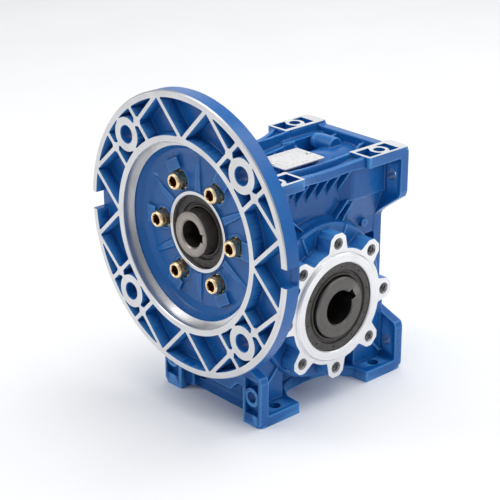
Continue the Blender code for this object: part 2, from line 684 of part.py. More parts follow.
def bearing(name, size, start, frame, outer_parent, inner_parent, cage_parent, balls):
    """A deep-groove ball bearing as two rings and a cage that holds the balls."""
    inner_r, outer_r, width = size
    depth = outer_r - inner_r
    pitch_r = (inner_r + outer_r) / 2
    ball_r = 0.27 * depth
    shoulder = 0.17 * depth
    middle = start + width / 2
    outer = [(outer_r, start), (outer_r, start + width), (pitch_r + shoulder, start + width)]
    outer += reversed(groove_arc(pitch_r, ball_r, middle, False))
    outer += [(pitch_r + shoulder, start)]
    inner = [(inner_r + GAP, start), (pitch_r - shoulder, start)]
    inner += reversed(groove_arc(pitch_r, ball_r, middle, True))
    inner += [(pitch_r - shoulder, start + width), (inner_r + GAP, start + width)]
    make_object(name + "_outer_ring", turned(outer, SMALL_ROUND), "bearing_steel", frame, outer_parent)
    make_object(name + "_inner_ring", turned(inner, SMALL_ROUND), "bearing_steel", frame, inner_parent)
    ball = bmesh.new()
    bmesh.ops.create_uvsphere(ball, u_segments=6, v_segments=3, radius=ball_r)
    ball = moved(ball, pitch_r, 0, middle)
    spread = shoulder - 2 * GAP
    reach = 0.6 * ball_r
    cage = tube(pitch_r - spread, pitch_r + spread, middle - reach, middle + reach, SMALL_ROUND)
    ball_ring = [around(ball, balls)]
    fused_object(name + "_ball_cage", cage, ball_ring, [], "cage_polymer", frame, cage_parent)


def seal(name, inner_r, outer_r, start, frame):
    """Radial shaft seal: a rubber-covered ring with a raised lip around the shaft."""
    end = start + SEAL_WIDTH
    lip_r = inner_r + 2 * GAP
    profile = [(lip_r, end - 0.9), (lip_r, start + 3), (inner_r + 2.4, start), (outer_r, start),
               (outer_r, end), (outer_r - 2.4, end), (outer_r - 3.0, end - 0.9)]
    make_object(name, turned(profile, SMALL_ROUND), "seal_rubber", frame)


def circlip(name, ring_r, inward, start, frame, parent=None):
    """Open retaining ring; inward is -1 for a ring in a bore and +1 for one on a shaft."""
    inner, outer = sorted((ring_r, ring_r + 3.2 * inward))
    opening = 18
    outline = arc((0, 0), outer, opening, 360 - opening, SMALL_ROUND)
    outline += arc((0, 0), inner, 360 - opening, opening, SMALL_ROUND)
    make_object(name, prism(outline, start, start + CIRCLIP), "dark_steel", frame, parent)


# ---------------------------------------------------------------- worm

def worm_thread():
    """One trapezoid thread wound about Z, with its section centred on -Y at height 0."""
    root_r = WORM_ROOT_R - 0.8
    half_width = AXIAL_PITCH / 4 - BACKLASH / 2
    section = []
    for radius, side in ((root_r, -1), (WORM_TIP_R, -1), (WORM_TIP_R, 1), (root_r, 1)):
        width = half_width - (radius - WORM_PITCH_R) * tan(PRESSURE_ANGLE)
        section.append((radius, side * width))
    steps = ceil(THREAD_TURNS * THREAD_STEPS)
    bm = bmesh.new()
    rings = []
    for index in range(steps + 1):
        turn = 2 * pi * (index - steps / 2 + THREAD_SHIFT) / THREAD_STEPS
        rise = AXIAL_PITCH * turn / (2 * pi)
        angle = turn - pi / 2
        rings.append([bm.verts.new((r * cos(angle), r * sin(angle), rise + z)) for r, z in section])
    for low, high in zip(rings, rings[1:]):
        for corner in range(len(section)):
            after = (corner + 1) % len(section)
            bm.faces.new((low[corner], low[after], high[after], high[corner]))
    bm.faces.new(reversed(rings[0]))
    bm.faces.new(rings[-1])
    bmesh.ops.recalc_face_normals(bm, faces=bm.faces)
    return bm


def worm_shaft(axis):
    """Worm with a hollow keyed input end; heights run along -Y, out of the motor flange."""
    journal_r = REAR_BEARING[0]
    front_seat = FRONT_BEARING_OUT - GAP
    rear_seat = -REAR_BEARING_Y + GAP
    rear_clip = -REAR_BEARING_Y - REAR_BEARING[2] - GAP
    groove_end = rear_clip - CIRCLIP - GAP
    profile = [(0, rear_clip - 5), (journal_r, rear_clip - 5), (journal_r, groove_end),
               (journal_r - 1, groove_end), (journal_r - 1, rear_clip), (journal_r, rear_clip),
               (journal_r, rear_seat),
               (13.5, rear_seat), (13.5, -38), (WORM_ROOT_R, -34), (WORM_ROOT_R, 34),
               (18.5, 43), (18.5, front_seat), (SHAFT_END_R, front_seat), (SHAFT_END_R, SHAFT_END_OUT),
               (0, SHAFT_END_OUT)]
    bore = turned([(0, INPUT_BORE_BOTTOM), (INPUT_BORE_R, INPUT_BORE_BOTTOM + 2),
                   (INPUT_BORE_R, SHAFT_END_OUT - 1), (INPUT_BORE_R + 1.5, SHAFT_END_OUT + 0.5),
                   (0, SHAFT_END_OUT + 0.5)], SMALL_ROUND)
    half_key = INPUT_KEY_WIDTH / 2
    keyway = box((0, -half_key, INPUT_BORE_BOTTOM + 3),
                 (INPUT_KEY_TOP, half_key, SHAFT_END_OUT + OVERSHOOT))
    solid = turned(profile, SMALL_ROUND)
    cuts = [bore, keyway]
    fused_object("worm_shaft", solid, [worm_thread()], cuts, "shaft_steel", INPUT_FRAME, axis)
    clip_start = rear_clip - CIRCLIP - GAP / 2
    circlip("worm_shaft_retaining_ring", journal_r - 0.7, 1, clip_start, INPUT_FRAME, axis)


# ---------------------------------------------------------------- wheel and output shaft

def involute(angle):
    return tan(angle) - angle


def wheel_outline():
    """Involute teeth with a gap at +Y, where the worm's thread stands."""
    base_r = WHEEL_PITCH_R * cos(PRESSURE_ANGLE)
    half_pitch = pi / (2 * WHEEL_TEETH) - BACKLASH / (2 * WHEEL_PITCH_R)
    flank = []
    for radius in (WHEEL_ROOT_R, 46.6, 49.2, WHEEL_TIP_R):
        pressure = acos(min(1.0, base_r / radius))
        flank.append((radius, half_pitch + involute(PRESSURE_ANGLE) - involute(pressure)))
    outline = []
    for tooth in range(WHEEL_TEETH):
        centre = pi / 2 + 2 * pi * (tooth + 0.5) / WHEEL_TEETH
        points = [(r, centre - a) for r, a in flank] + [(r, centre + a) for r, a in reversed(flank)]
        outline += [(r * cos(a), r * sin(a)) for r, a in points]
    return outline


def wheel_rim(axis):
    """Bronze rim: the toothed outline is twisted along Z to the worm's lead angle."""
    bm = prism(wheel_outline(), -WHEEL_HALF_WIDTH, WHEEL_HALF_WIDTH)
    for vertex in bm.verts:
        twist = vertex.co.z * LEAD_ANGLE_TAN / WHEEL_PITCH_R
        vertex.co = Matrix.Rotation(twist, 3, "Z") @ vertex.co
    bore = disc(WHEEL_BORE_R + GAP, -WHEEL_HALF_WIDTH - OVERSHOOT, WHEEL_HALF_WIDTH + OVERSHOOT)
    fused_object("worm_wheel_rim", bm, [], [bore], "bronze", OUTPUT_FRAME, axis)


def output_shaft(axis):
    """Hollow output shaft with the wheel's hub, keyed right through."""
    shoulder = OUTPUT_BEARING_X - GAP
    half = [(WHEEL_BORE_R, WHEEL_HALF_WIDTH), (27, WHEEL_HALF_WIDTH + 2), (27, shoulder),
            (OUTPUT_SHAFT_R, shoulder), (OUTPUT_SHAFT_R, OUTPUT_SHAFT_X),
            (OUTPUT_BORE_R, OUTPUT_SHAFT_X)]
    profile = half + [(r, -x) for r, x in reversed(half)]
    half_key = OUTPUT_KEY_WIDTH / 2
    reach = OUTPUT_SHAFT_X + OVERSHOOT
    keyway = box((0, -half_key, -reach), (OUTPUT_KEY_TOP, half_key, reach))
    keyway = placed(keyway, Matrix.Rotation(OUTPUT_KEY_ANGLE, 4, "Z"))
    fused_object("output_hollow_shaft", turned(profile), [], [keyway], "shaft_steel", OUTPUT_FRAME, axis)


# ---------------------------------------------------------------- small pieces

def rear_end_cap():
    """Pressed cap that closes the worm bore at the rear; heights run along -Y."""
    radius = REAR_BEARING[1]
    face = -HALF_LENGTH + 0.5
    profile = [(0, face), (radius - 1, face), (radius, face + 1), (radius, face + 4.5),
               (radius - 1.5, face + 4.5), (radius - 1.5, face + 1.6), (0, face + 1.6)]
    make_object("rear_end_cap", turned(profile, SMALL_ROUND), "dark_steel", INPUT_FRAME)


def plug(name, seat, frame):
    """Hexagon-socket screw plug and its sealing washer."""
    washer = 1.5
    under = seat + washer + 2 * GAP
    outer = turned([(0, seat - PLUG_LENGTH), (PLUG_R, seat - PLUG_LENGTH), (PLUG_R, under),
                    (PLUG_HEAD_R, under), (PLUG_HEAD_R, under + 2.6), (PLUG_HEAD_R - 0.8, under + 3.4),
                    (0, under + 3.4)], HOLE_ROUND)
    socket = disc(2.4, under + 0.6, under + 4.4, 6)
    fused_object(name, outer, [], [socket], "dark_steel", frame)
    ring = tube(PLUG_R + GAP, PLUG_HEAD_R + 0.5, seat + GAP, seat + GAP + washer, HOLE_ROUND)
    make_object(name + "_washer", ring, "bare_aluminium", frame)


def nameplate():
    """Blank rating plate on the flat of the worm tube, held by two rivets."""
    low = NAMEPLATE_Z + GAP
    outline = rounded_rectangle((-14.5, -14.6), (14.5, 25.0), 2.0)
    rivets = [(0.0, -12.0), (0.0, 22.4)]
    holes = [moved(disc(1.3, low - 1, low + 2, 8), x, y) for x, y in rivets]
    fused_object("nameplate", prism(outline, low, low + 0.8), [], holes, "plate_aluminium")
    shank = [(0, low + 0.1), (1.0, low + 0.1), (1.0, low + 1.1), (2.0, low + 1.1), (1.5, low + 1.9),
             (0, low + 2.1)]
    rivet = shared_mesh("rivet", turned(shank, 8))
    places = [Matrix.Translation((x, y, 0)) for x, y in rivets]
    repeated("nameplate_rivet", rivet, "bare_aluminium", places)


# ---------------------------------------------------------------- assembly

def clear_scene():
    for item in list(bpy.data.objects):
        bpy.data.objects.remove(item, do_unlink=True)


def main():
    clear_scene()
    worm_axis = axis_empty("worm_axis", INPUT_FRAME)
    worm_cage_axis = axis_empty("worm_cage_axis", INPUT_FRAME)
    output_axis = axis_empty("output_axis", OUTPUT_FRAME)
    cage_axis = axis_empty("output_cage_axis", OUTPUT_FRAME)
    far_frame = OUTPUT_FRAME @ Matrix.Rotation(pi, 4, "Y")

    housing()
    input_flange()
    flange_fasteners()
    side_cover()
    rear_end_cap()
    nameplate()
    plug("filler_plug", FILLER_SEAT, FILLER_FRAME)
    plug("drain_plug", DRAIN_SEAT, DRAIN_FRAME)

    worm_shaft(worm_axis)
    bearing("front_bearing", FRONT_BEARING, FRONT_BEARING_OUT, INPUT_FRAME, None, worm_axis,
            worm_cage_axis, 7)
    rear_start = -REAR_BEARING_Y - REAR_BEARING[2]
    bearing("rear_bearing", REAR_BEARING, rear_start, INPUT_FRAME, None, worm_axis, worm_cage_axis, 6)
    circlip("front_bearing_retaining_ring", FRONT_BEARING[1] + 1.2, -1,
            FRONT_BEARING_OUT + FRONT_BEARING[2] + 1.5 * GAP, INPUT_FRAME)
    circlip("rear_bearing_retaining_ring", REAR_BEARING[1] + 1.2, -1,
            rear_start - 1.5 * GAP - CIRCLIP, INPUT_FRAME)
    seal("input_oil_seal", SHAFT_END_R, HUB_BORE_R - GAP, 71.0, INPUT_FRAME)

    output_shaft(output_axis)
    wheel_rim(output_axis)
    bearing("right_bearing", OUTPUT_BEARING, OUTPUT_BEARING_X, OUTPUT_FRAME, None, output_axis,
            cage_axis, 8)
    left = -OUTPUT_BEARING_X - OUTPUT_BEARING[2]
    bearing("left_bearing", OUTPUT_BEARING, left, OUTPUT_FRAME, None, output_axis, cage_axis, 8)
    seal("right_output_oil_seal", OUTPUT_SHAFT_R, OUTPUT_SEAL_R, SEAL_FACE_X - SEAL_WIDTH, OUTPUT_FRAME)
    seal("left_output_oil_seal", OUTPUT_SHAFT_R, OUTPUT_SEAL_R, SEAL_FACE_X - SEAL_WIDTH, far_frame)


main()
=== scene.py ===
from math import atan2, cos, pi, radians, sin, tan

import bmesh
import bpy
from mathutils import Matrix, Vector


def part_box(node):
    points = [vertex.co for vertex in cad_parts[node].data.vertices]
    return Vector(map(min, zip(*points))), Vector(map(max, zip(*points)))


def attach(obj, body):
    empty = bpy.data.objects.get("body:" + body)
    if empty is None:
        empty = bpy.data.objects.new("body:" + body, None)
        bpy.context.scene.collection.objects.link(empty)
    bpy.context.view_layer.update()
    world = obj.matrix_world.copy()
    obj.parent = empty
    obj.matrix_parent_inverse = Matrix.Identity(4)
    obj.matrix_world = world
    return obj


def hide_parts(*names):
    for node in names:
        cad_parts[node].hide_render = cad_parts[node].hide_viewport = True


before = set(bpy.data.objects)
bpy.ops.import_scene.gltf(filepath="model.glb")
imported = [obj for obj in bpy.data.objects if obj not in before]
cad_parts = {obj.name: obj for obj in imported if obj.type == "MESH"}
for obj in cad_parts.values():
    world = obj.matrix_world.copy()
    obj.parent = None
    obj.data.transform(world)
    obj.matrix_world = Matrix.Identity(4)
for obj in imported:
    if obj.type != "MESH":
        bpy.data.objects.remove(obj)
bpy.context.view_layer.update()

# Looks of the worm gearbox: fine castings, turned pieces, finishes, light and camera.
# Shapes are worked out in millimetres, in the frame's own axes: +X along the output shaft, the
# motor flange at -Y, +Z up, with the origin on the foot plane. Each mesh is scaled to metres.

MM = 0.001
SLIVER = 0.0005                          # edges shorter than this, in millimetres, are closed up
SHARP_BEND = radians(32)                 # edges that bend more than this are shaded as sharp
COARSE = 1.0      # coarser castings while trying things out


def span(node):
    """A CAD node's lowest and highest corner in millimetres."""
    low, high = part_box(node)
    return low / MM, high / MM


# ---------------------------------------------------------------- sizes

CASE_HIGH = span("housing")[1]
FLANGE_LOW, FLANGE_HIGH = span("input_flange")
SHAFT_LOW, SHAFT_HIGH = span("output_hollow_shaft")
PLATE_LOW, PLATE_HIGH = span("nameplate")

HEIGHT = CASE_HIGH.z
HALF_LENGTH = CASE_HIGH.y
OUTPUT_Z = (SHAFT_LOW.z + SHAFT_HIGH.z) / 2
WORM_Z = (FLANGE_LOW.z + FLANGE_HIGH.z) / 2
FLANGE_FACE = -FLANGE_LOW.y
FLANGE_R = (FLANGE_HIGH.z - FLANGE_LOW.z) / 2

HALF_WIDTH = 51.5
PLATE = 8.0
BOLT_X = 42.5
BOLT_Y = 50.0
BOLT_HOLE_R = 4.25
PAD_INNER_X = 33.0
PAD_INNER_Y = 31.0
PAD_HEIGHT = 38.0
PAD_BOLT_Z = 22.0
PAD_RING_R = 7.0
CORNER_R = 5.0
RAIL_X = 41.5                            # the rail's outer face, and its heights, at mid length
RAIL_TOP = HEIGHT - 4.4
RAIL_LOW = HEIGHT - 11.4
RAIL_REACH = 34
WALL_X = 36.0                            # the flat walls behind the pads, and where they lean in
WALL_LOW = 138.5

DRUM_FACE_X = 39.0
DRUM_EDGE_R = 57.5
DRUM_RIDGE_X = 28.0
DRUM_RIDGE_R = 60.0
CAVITY_R = 54.0
CAVITY_END_X = 26.0
LOBE_FACE_X = 53.0
LOBE_COUNT = 8
LOBE_ROOT_R = 43.0
LOBE_TIP_R = 55.0
LOBE_PCD_R = 47.5
LOBE_HOLE_R = 3.6
LOBE_HOLE_DEPTH = 14.0
PILOT_R = 40.0
PILOT_X = 55.0
OUTPUT_SHAFT_R = 22.5
OUTPUT_BORE_R = 12.5
OUTPUT_KEY_WIDTH = 8.0
OUTPUT_KEY_TOP = 15.8
OUTPUT_KEY_ANGLE = radians(30)
OUTPUT_BEARING = (22.5, 37.5, 16.0)      # inner radius, outer radius, width
OUTPUT_BEARING_X = 28.0
OUTPUT_SEAL_R = 32.5
SEAL_WIDTH = 8.0
SEAL_FACE_X = 53.6
INPUT_SEAL_OUT = 71.0

RIM_INNER_R = 95.5
RING_OUTER_R = 69.5
SPIGOT_R = 65.0
SPIGOT_DEPTH = 7.4
POCKET_DEPTH = 10.0
FLOOR_OUT = 80.0
HUB_R = 28.5
HUB_RISE = 2.5
HUB_BORE_R = 26.0
FLANGE_SEAT_R = 46.0
HOUSING_SEAT_R = 38.5
FLANGE_BOSS_R = 12.0
FLANGE_BOLT_R = 82.5
FLANGE_BOLT_HOLE_R = 6.0
RIB_WIDTH = 2.6
NOTCH_HALF = 6.5
CAP_SCREW_PCD_R = 37.5
CAP_SCREW_COUNT = 6
CAP_SCREW_R = 4.0
CAP_HEAD_R = 6.5
CAP_HEAD_LENGTH = 8.0
CAP_SEAT_OUT = 77.0
SPRING_WASHER = 2.2
SHAFT_END_OUT = 88.5
SHAFT_END_R = 16.0
INPUT_BORE_R = 9.5
INPUT_BORE_BOTTOM = 45.0
INPUT_KEY_WIDTH = 6.0
INPUT_KEY_TOP = 12.3
FRONT_BEARING = (16.0, 29.0, 13.0)
FRONT_BEARING_OUT = 54.0
REAR_BEARING = (10.0, 23.5, 14.0)
REAR_BEARING_Y = 50.0
REAR_START = -REAR_BEARING_Y - REAR_BEARING[2]
TUBE_R = 30.0
CIRCLIP = 1.75

MODULE = 3.25
WORM_PITCH_R = 14.25
WORM_TIP_R = WORM_PITCH_R + MODULE
WORM_ROOT_R = WORM_PITCH_R - 1.2 * MODULE
AXIAL_PITCH = pi * MODULE
BACKLASH = 0.5
PRESSURE_ANGLE = radians(20)
THREAD_TURNS = 5.0
THREAD_STEPS = 48
THREAD_FADE = 18                         # steps over which the thread runs out at each end

COVER_SCREW_R = 58.0
COVER_SCREW_COUNT = 8
COVER_SCREW_TURN = pi / 8
COVER_FACE = 45.0
EAR_R = 6.5
M6_R = 3.0
M6_HEAD_R = 5.0
M6_HEAD_LENGTH = 6.0
PLUG_R = 4.0
PLUG_HEAD_R = 5.5
PLUG_LENGTH = 9.0
FILLER_SEAT = 18.0
DRAIN_SEAT = -6.0
GAP = 0.3

PROUD = 2.0                              # how far a cast face stands proud before it is machined
ROUND = 96                               # sides of a fine round piece
AS_MADE, MACHINED, HOLE, CUT_AND_PAINTED = range(4)      # material slots of a working object

IDENTITY = Matrix.Identity(4)
ACROSS = Matrix(((0, 0, 1, 0), (1, 0, 0, 0), (0, 1, 0, 0), (0, 0, 0, 1)))      # heights run to +X
TO_COVER = Matrix(((0, 0, -1, 0), (-1, 0, 0, 0), (0, 1, 0, 0), (0, 0, 0, 1)))  # heights run to -X
UPRIGHT = Matrix(((1, 0, 0, 0), (0, 0, -1, 0), (0, 1, 0, 0), (0, 0, 0, 1)))    # heights run to -Y
TO_REAR = Matrix.Rotation(-pi / 2, 4, "X")                                     # heights run to +Y
HALF_TURN = Matrix.Rotation(pi, 4, "Z")
FAR_SIDE = Matrix.Diagonal((-1, 1, -1, 1))
OUTPUT_FRAME = Matrix.Translation((0, 0, OUTPUT_Z)) @ ACROSS
FAR_FRAME = OUTPUT_FRAME @ Matrix.Rotation(pi, 4, "Y")
COVER_FRAME = Matrix.Translation((0, 0, OUTPUT_Z)) @ TO_COVER
INPUT_FRAME = Matrix.Translation((0, 0, WORM_Z)) @ UPRIGHT
FILLER_FRAME = Matrix.Translation((0, 52.0, 165.0)) @ TO_COVER
DRAIN_FRAME = Matrix.Translation((0, 46.0, 0)) @ Matrix.Rotation(pi, 4, "X")


# ---------------------------------------------------------------- finishes

class Finish:
    """A Principled material whose colour, roughness and bump are painted by nodes."""

    def __init__(self, name, colour, roughness, metallic):
        self.material = bpy.data.materials.new(name)
        self.material.use_nodes = True
        self.material.diffuse_color = (*colour, 1.0)
        self.nodes = self.material.node_tree.nodes
        self.links = self.material.node_tree.links
        self.shader = self.nodes["Principled BSDF"]
        self.fill(self.shader, {"Base Color": (*colour, 1.0), "Roughness": roughness,
                                "Metallic": metallic})
        self.place = self.add("TexCoord", {})["Object"]
        self.normal = None

    def fill(self, node, inputs):
        """Links each input to a socket, or gives it a value."""
        for key, value in inputs.items():
            if isinstance(value, bpy.types.NodeSocket):
                self.links.new(value, node.inputs[key])
            else:
                node.inputs[key].default_value = value

    def add(self, kind, inputs, **settings):
        """A new node's outputs."""
        node = self.nodes.new("ShaderNode" + kind)
        for key, value in settings.items():
            setattr(node, key, value)
        self.fill(node, inputs)
        return node.outputs

    def noise(self, size_mm, detail, stretch=None):
        """Noise with features of about this size, drawn out along an axis if stretch is given."""
        place = self.place
        if stretch:
            place = self.add("Mapping", {"Vector": place, "Scale": stretch})["Vector"]
        return self.add("TexNoise", {"Vector": place, "Scale": 1 / (size_mm * MM),
                                     "Detail": detail})["Fac"]

    def ramp(self, value, *stops):
        """A colour ramp over a value; each stop is a position and a colour."""
        node = self.nodes.new("ShaderNodeValToRGB")
        marks = node.color_ramp.elements
        while len(marks) < len(stops):
            marks.new(0.5)
        for mark, (position, colour) in zip(marks, stops):
            mark.position = position
            mark.color = (*colour, 1.0)
        self.fill(node, {"Fac": value})
        return node.outputs["Color"]

    def mix(self, share, first, second):
        """Mixes two colours, each of them a colour or a socket."""
        first, second = ((*part, 1.0) if isinstance(part, tuple) else part for part in (first, second))
        return self.add("Mix", {0: share, 6: first, 7: second}, data_type="RGBA")[2]

    def range(self, value, low, high, out_low, out_high):
        return self.add("MapRange", {"Value": value, "From Min": low, "From Max": high,
                                     "To Min": out_low, "To Max": out_high})["Result"]

    def colour(self, socket):
        self.fill(self.shader, {"Base Color": socket})

    def roughness(self, value, low, high):
        """Roughness that runs from low to high with a value."""
        self.fill(self.shader, {"Roughness": self.range(value, 0.3, 0.7, low, high)})

    def bump(self, height, depth_mm):
        """Adds a bump of about this depth to what is there already."""
        inputs = {"Strength": 1.0, "Distance": depth_mm * MM, "Height": height}
        if self.normal:
            inputs["Normal"] = self.normal
        self.normal = self.add("Bump", inputs)["Normal"]
        self.fill(self.shader, {"Normal": self.normal})

    def lit_edges_and_dark_hollows(self, base, edge, crevice, low=0.47):
        """Base colour, turned to edge along outer corners as a painted highlight, and to crevice in
        hollows, as painted shade on the blue paint, the steel and the zinc.
        """
        bend = self.add("NewGeometry", {})["Pointiness"]
        hollow = self.range(bend, low, 0.5, 1.0, 0.0)
        corner = self.range(bend, 0.505, 0.54, 0.0, 1.0)
        return self.mix(corner, self.mix(hollow, base, crevice), edge)

    def rings(self, centre, axis, pitch_mm):
        """Turning marks: bands of equal distance from an axis through the centre."""
        centre = [part * MM for part in centre]
        across = [0.0 if name == axis else 1.0 for name in "XYZ"]
        shift = self.add("VectorMath", {0: self.place, 1: centre}, operation="SUBTRACT")["Vector"]
        flat = self.add("VectorMath", {0: shift, 1: across}, operation="MULTIPLY")["Vector"]
        reach = self.add("VectorMath", {0: flat}, operation="LENGTH")["Value"]
        return self.add("TexNoise", {"W": reach, "Scale": 1 / (pitch_mm * MM), "Detail": 3.0},
                        noise_dimensions="1D")["Fac"]


def blue_paint(name, painted_highlight_and_shade):
    """Sprayed enamel over a casting: orange peel, soft colour drift, and, when asked, a painted
    highlight along outer corners and painted shade in hollows.
    """
    paint = Finish(name, (0.005, 0.106, 0.36), 0.36, 0.0)
    drift = paint.ramp(paint.noise(38, 3), (0.3, (0.0035, 0.092, 0.325)), (0.7, (0.007, 0.122, 0.40)))
    if painted_highlight_and_shade:
        # Painted highlight: paler blue along outer corners. Painted shade: darker blue in hollows.
        drift = paint.lit_edges_and_dark_hollows(drift, (0.06, 0.26, 0.60), (0.0035, 0.078, 0.265), 0.46)
    paint.colour(drift)
    paint.roughness(paint.noise(9, 3), 0.24, 0.38)
    paint.fill(paint.shader, {"Specular IOR Level": 0.3, "Coat Weight": 0.16, "Coat Roughness": 0.2})
    paint.bump(paint.noise(4.5, 3), 0.10)
    paint.bump(paint.noise(1.1, 2), 0.035)
    return paint.material


def machined(name, centre, axis, tone):
    """Bright turned aluminium with concentric tool marks, as light as its tone; the flange's lower tone
    is painted shade.
    """
    metal = Finish(name, (tone, tone, tone), 0.34, 1.0)
    marks = metal.rings(centre, axis, 0.55)
    cloud = metal.noise(16, 3)
    low, high, dull = tone * 0.83, tone * 1.09, tone * 0.88
    turned_face = metal.ramp(marks, (0.3, (low, low, low + 0.015)), (0.7, (high, high, high)))
    share = metal.range(cloud, 0.4, 0.7, 0.0, 0.55)
    metal.colour(metal.mix(share, turned_face, (dull, dull, dull + 0.015)))
    metal.roughness(cloud, 0.27, 0.42)
    metal.bump(marks, 0.02)
    return metal.material


def steel(name, colour, roughness, centre, axis, pitch=0.35):
    """Turned steel with fine marks, a little staining, a painted highlight along its edges and painted
    shade in its hollows.
    """
    metal = Finish(name, colour, roughness, 1.0)
    marks = metal.rings(centre, axis, pitch)
    darker, lighter, edge = (tuple(min(1.0, part * gain + lift) for part in colour)
                             for gain, lift in ((0.72, 0.0), (1.25, 0.0), (1.4, 0.04)))
    tone = metal.ramp(marks, (0.3, darker), (0.7, lighter))
    stained = metal.mix(metal.range(metal.noise(6, 4), 0.45, 0.75, 0.0, 0.6), tone, darker)
    # Painted highlight: the lighter edge colour along outer corners. Painted shade: the darker colour
    # in hollows.
    metal.colour(metal.lit_edges_and_dark_hollows(stained, edge, darker))
    metal.roughness(metal.noise(3, 3), roughness - 0.07, roughness + 0.1)
    metal.bump(marks, 0.015)
    return metal.material


def yellow_zinc():
    """Yellow chromate over zinc: gold with faint green and violet clouds."""
    zinc = Finish("yellow_chromate", (0.52, 0.34, 0.14), 0.3, 1.0)
    cloud = zinc.ramp(zinc.noise(4.0, 3), (0.25, (0.46, 0.43, 0.16)), (0.5, (0.62, 0.38, 0.16)),
                      (0.75, (0.50, 0.23, 0.14)))
    # Painted highlight: pale gold along outer corners. Painted shade: dark brown in hollows.
    zinc.colour(zinc.lit_edges_and_dark_hollows(cloud, (0.95, 0.74, 0.46), (0.20, 0.10, 0.04)))
    zinc.roughness(zinc.noise(1.5, 2), 0.2, 0.38)
    zinc.bump(zinc.noise(0.7, 2), 0.01)
    return zinc.material


def rubber(name, colour):
    """Moulded nitrile rubber with a dull bloom."""
    black = Finish(name, colour, 0.55, 0.0)
    bloom = tuple(part * 1.8 + 0.01 for part in colour)
    black.colour(black.ramp(black.noise(5, 4), (0.35, colour), (0.75, bloom)))
    black.roughness(black.noise(2, 2), 0.42, 0.66)
    black.bump(black.noise(0.5, 2), 0.02)
    return black.material


def bronze():
    """Machined tin bronze, browner in its hollows."""
    metal = Finish("wheel_bronze", (0.60, 0.38, 0.15), 0.33, 1.0)
    cloud = metal.ramp(metal.noise(7, 4), (0.3, (0.50, 0.30, 0.12)), (0.7, (0.68, 0.46, 0.20)))
    # Lighter along outer corners as a painted highlight, and browner in hollows.
    metal.colour(metal.lit_edges_and_dark_hollows(cloud, (0.86, 0.64, 0.34), (0.26, 0.15, 0.07)))
    metal.roughness(metal.noise(3, 3), 0.25, 0.42)
    metal.bump(metal.noise(0.8, 3, (1, 6, 1)), 0.015)
    return metal.material


def plate_aluminium():
    """Blank brushed rating plate, slightly mottled."""
    metal = Finish("satin_plate", (0.80, 0.79, 0.78), 0.42, 0.55)
    brushed = metal.noise(0.5, 3, (1, 0.03, 1))
    mottled = metal.ramp(metal.noise(1.6, 4), (0.35, (0.70, 0.69, 0.69)), (0.65, (0.88, 0.87, 0.86)))
    metal.colour(metal.mix(metal.range(brushed, 0.35, 0.65, 0.0, 0.35), mottled, (0.66, 0.66, 0.67)))
    metal.roughness(brushed, 0.34, 0.55)
    metal.bump(brushed, 0.01)
    return metal.material


def drilled():
    """Dull aluminium down a drilled or tapped hole, dark as painted shade."""
    metal = Finish("drilled_aluminium", (0.16, 0.16, 0.17), 0.5, 0.8)
    # Dark grey as painted shade down the hole, mottled at random.
    metal.colour(metal.ramp(metal.noise(2.5, 3), (0.35, (0.16, 0.16, 0.18)), (0.7, (0.42, 0.41, 0.40))))
    metal.roughness(metal.noise(1.2, 2), 0.4, 0.62)
    metal.bump(metal.noise(0.5, 2), 0.02)
    return metal.material


WORM_AXIS = ((0.0, 0.0, WORM_Z), "Y")
OUTPUT_AXIS = ((0.0, 0.0, OUTPUT_Z), "X")
BRIGHT_STEEL = (0.60, 0.61, 0.63)
PAINT = blue_paint("blue_enamel", True)
EVEN_PAINT = blue_paint("blue_enamel_even", False)
# The flange's aluminium takes a darker tone than the case's, 0.72 against 0.86: painted shade on the
# same turned metal.
FLANGE_METAL = machined("turned_flange_aluminium", *WORM_AXIS, 0.72)
LOBE_METAL = machined("turned_case_aluminium", *OUTPUT_AXIS, 0.86)
DRILLED = drilled()
WORM_STEEL = steel("worm_shaft_steel", (0.225, 0.202, 0.183), 0.40, *WORM_AXIS)
OUTPUT_STEEL = steel("output_shaft_steel", (0.122, 0.116, 0.109), 0.40, *OUTPUT_AXIS)
WORM_BEARING_STEEL = steel("worm_bearing_steel", BRIGHT_STEEL, 0.2, *WORM_AXIS, 0.8)
OUTPUT_BEARING_STEEL = steel("output_bearing_steel", BRIGHT_STEEL, 0.2, *OUTPUT_AXIS, 0.8)
DARK_STEEL = steel("phosphated_steel", (0.10, 0.10, 0.105), 0.42, *OUTPUT_AXIS, 0.6)
ZINC = yellow_zinc()
SEAL_RUBBER = rubber("seal_rubber_black", (0.040, 0.036, 0.033))
CAGE_POLYMER = rubber("cage_nylon", (0.14, 0.11, 0.08))
BRONZE = bronze()
PLATE_METAL = plate_aluminium()


# ---------------------------------------------------------------- shapes

def prism(outline, low, high):
    """The outline in the XY plane, extruded along Z from low to high."""
    bm = bmesh.new()
    face = bm.faces.new([bm.verts.new((x, y, low)) for x, y in outline])
    grown = bmesh.ops.extrude_face_region(bm, geom=[face])["geom"]
    top = [item for item in grown if isinstance(item, bmesh.types.BMVert)]
    bmesh.ops.translate(bm, vec=(0, 0, high - low), verts=top)
    bmesh.ops.recalc_face_normals(bm, faces=bm.faces)
    return bm


def turned(profile, sides=ROUND):
    """A closed profile of (radius, height) points, spun about Z."""
    bm = bmesh.new()
    points = [bm.verts.new((radius, 0, height)) for radius, height in profile]
    pairs = zip(points, points[1:] + points[:1])
    edges = [bm.edges.new(pair) for pair in pairs if max(pair[0].co.x, pair[1].co.x) > 0]
    bmesh.ops.spin(bm, geom=points + edges, cent=(0, 0, 0), axis=(0, 0, 1), steps=sides,
                   angle=2 * pi, use_merge=True)
    bmesh.ops.remove_doubles(bm, verts=bm.verts, dist=1e-4)
    bmesh.ops.recalc_face_normals(bm, faces=bm.faces)
    return bm


def to_axis(points):
    """A profile whose first and last point are joined to the axis by flat faces."""
    return [(0, points[0][1]), *points, (0, points[-1][1])]


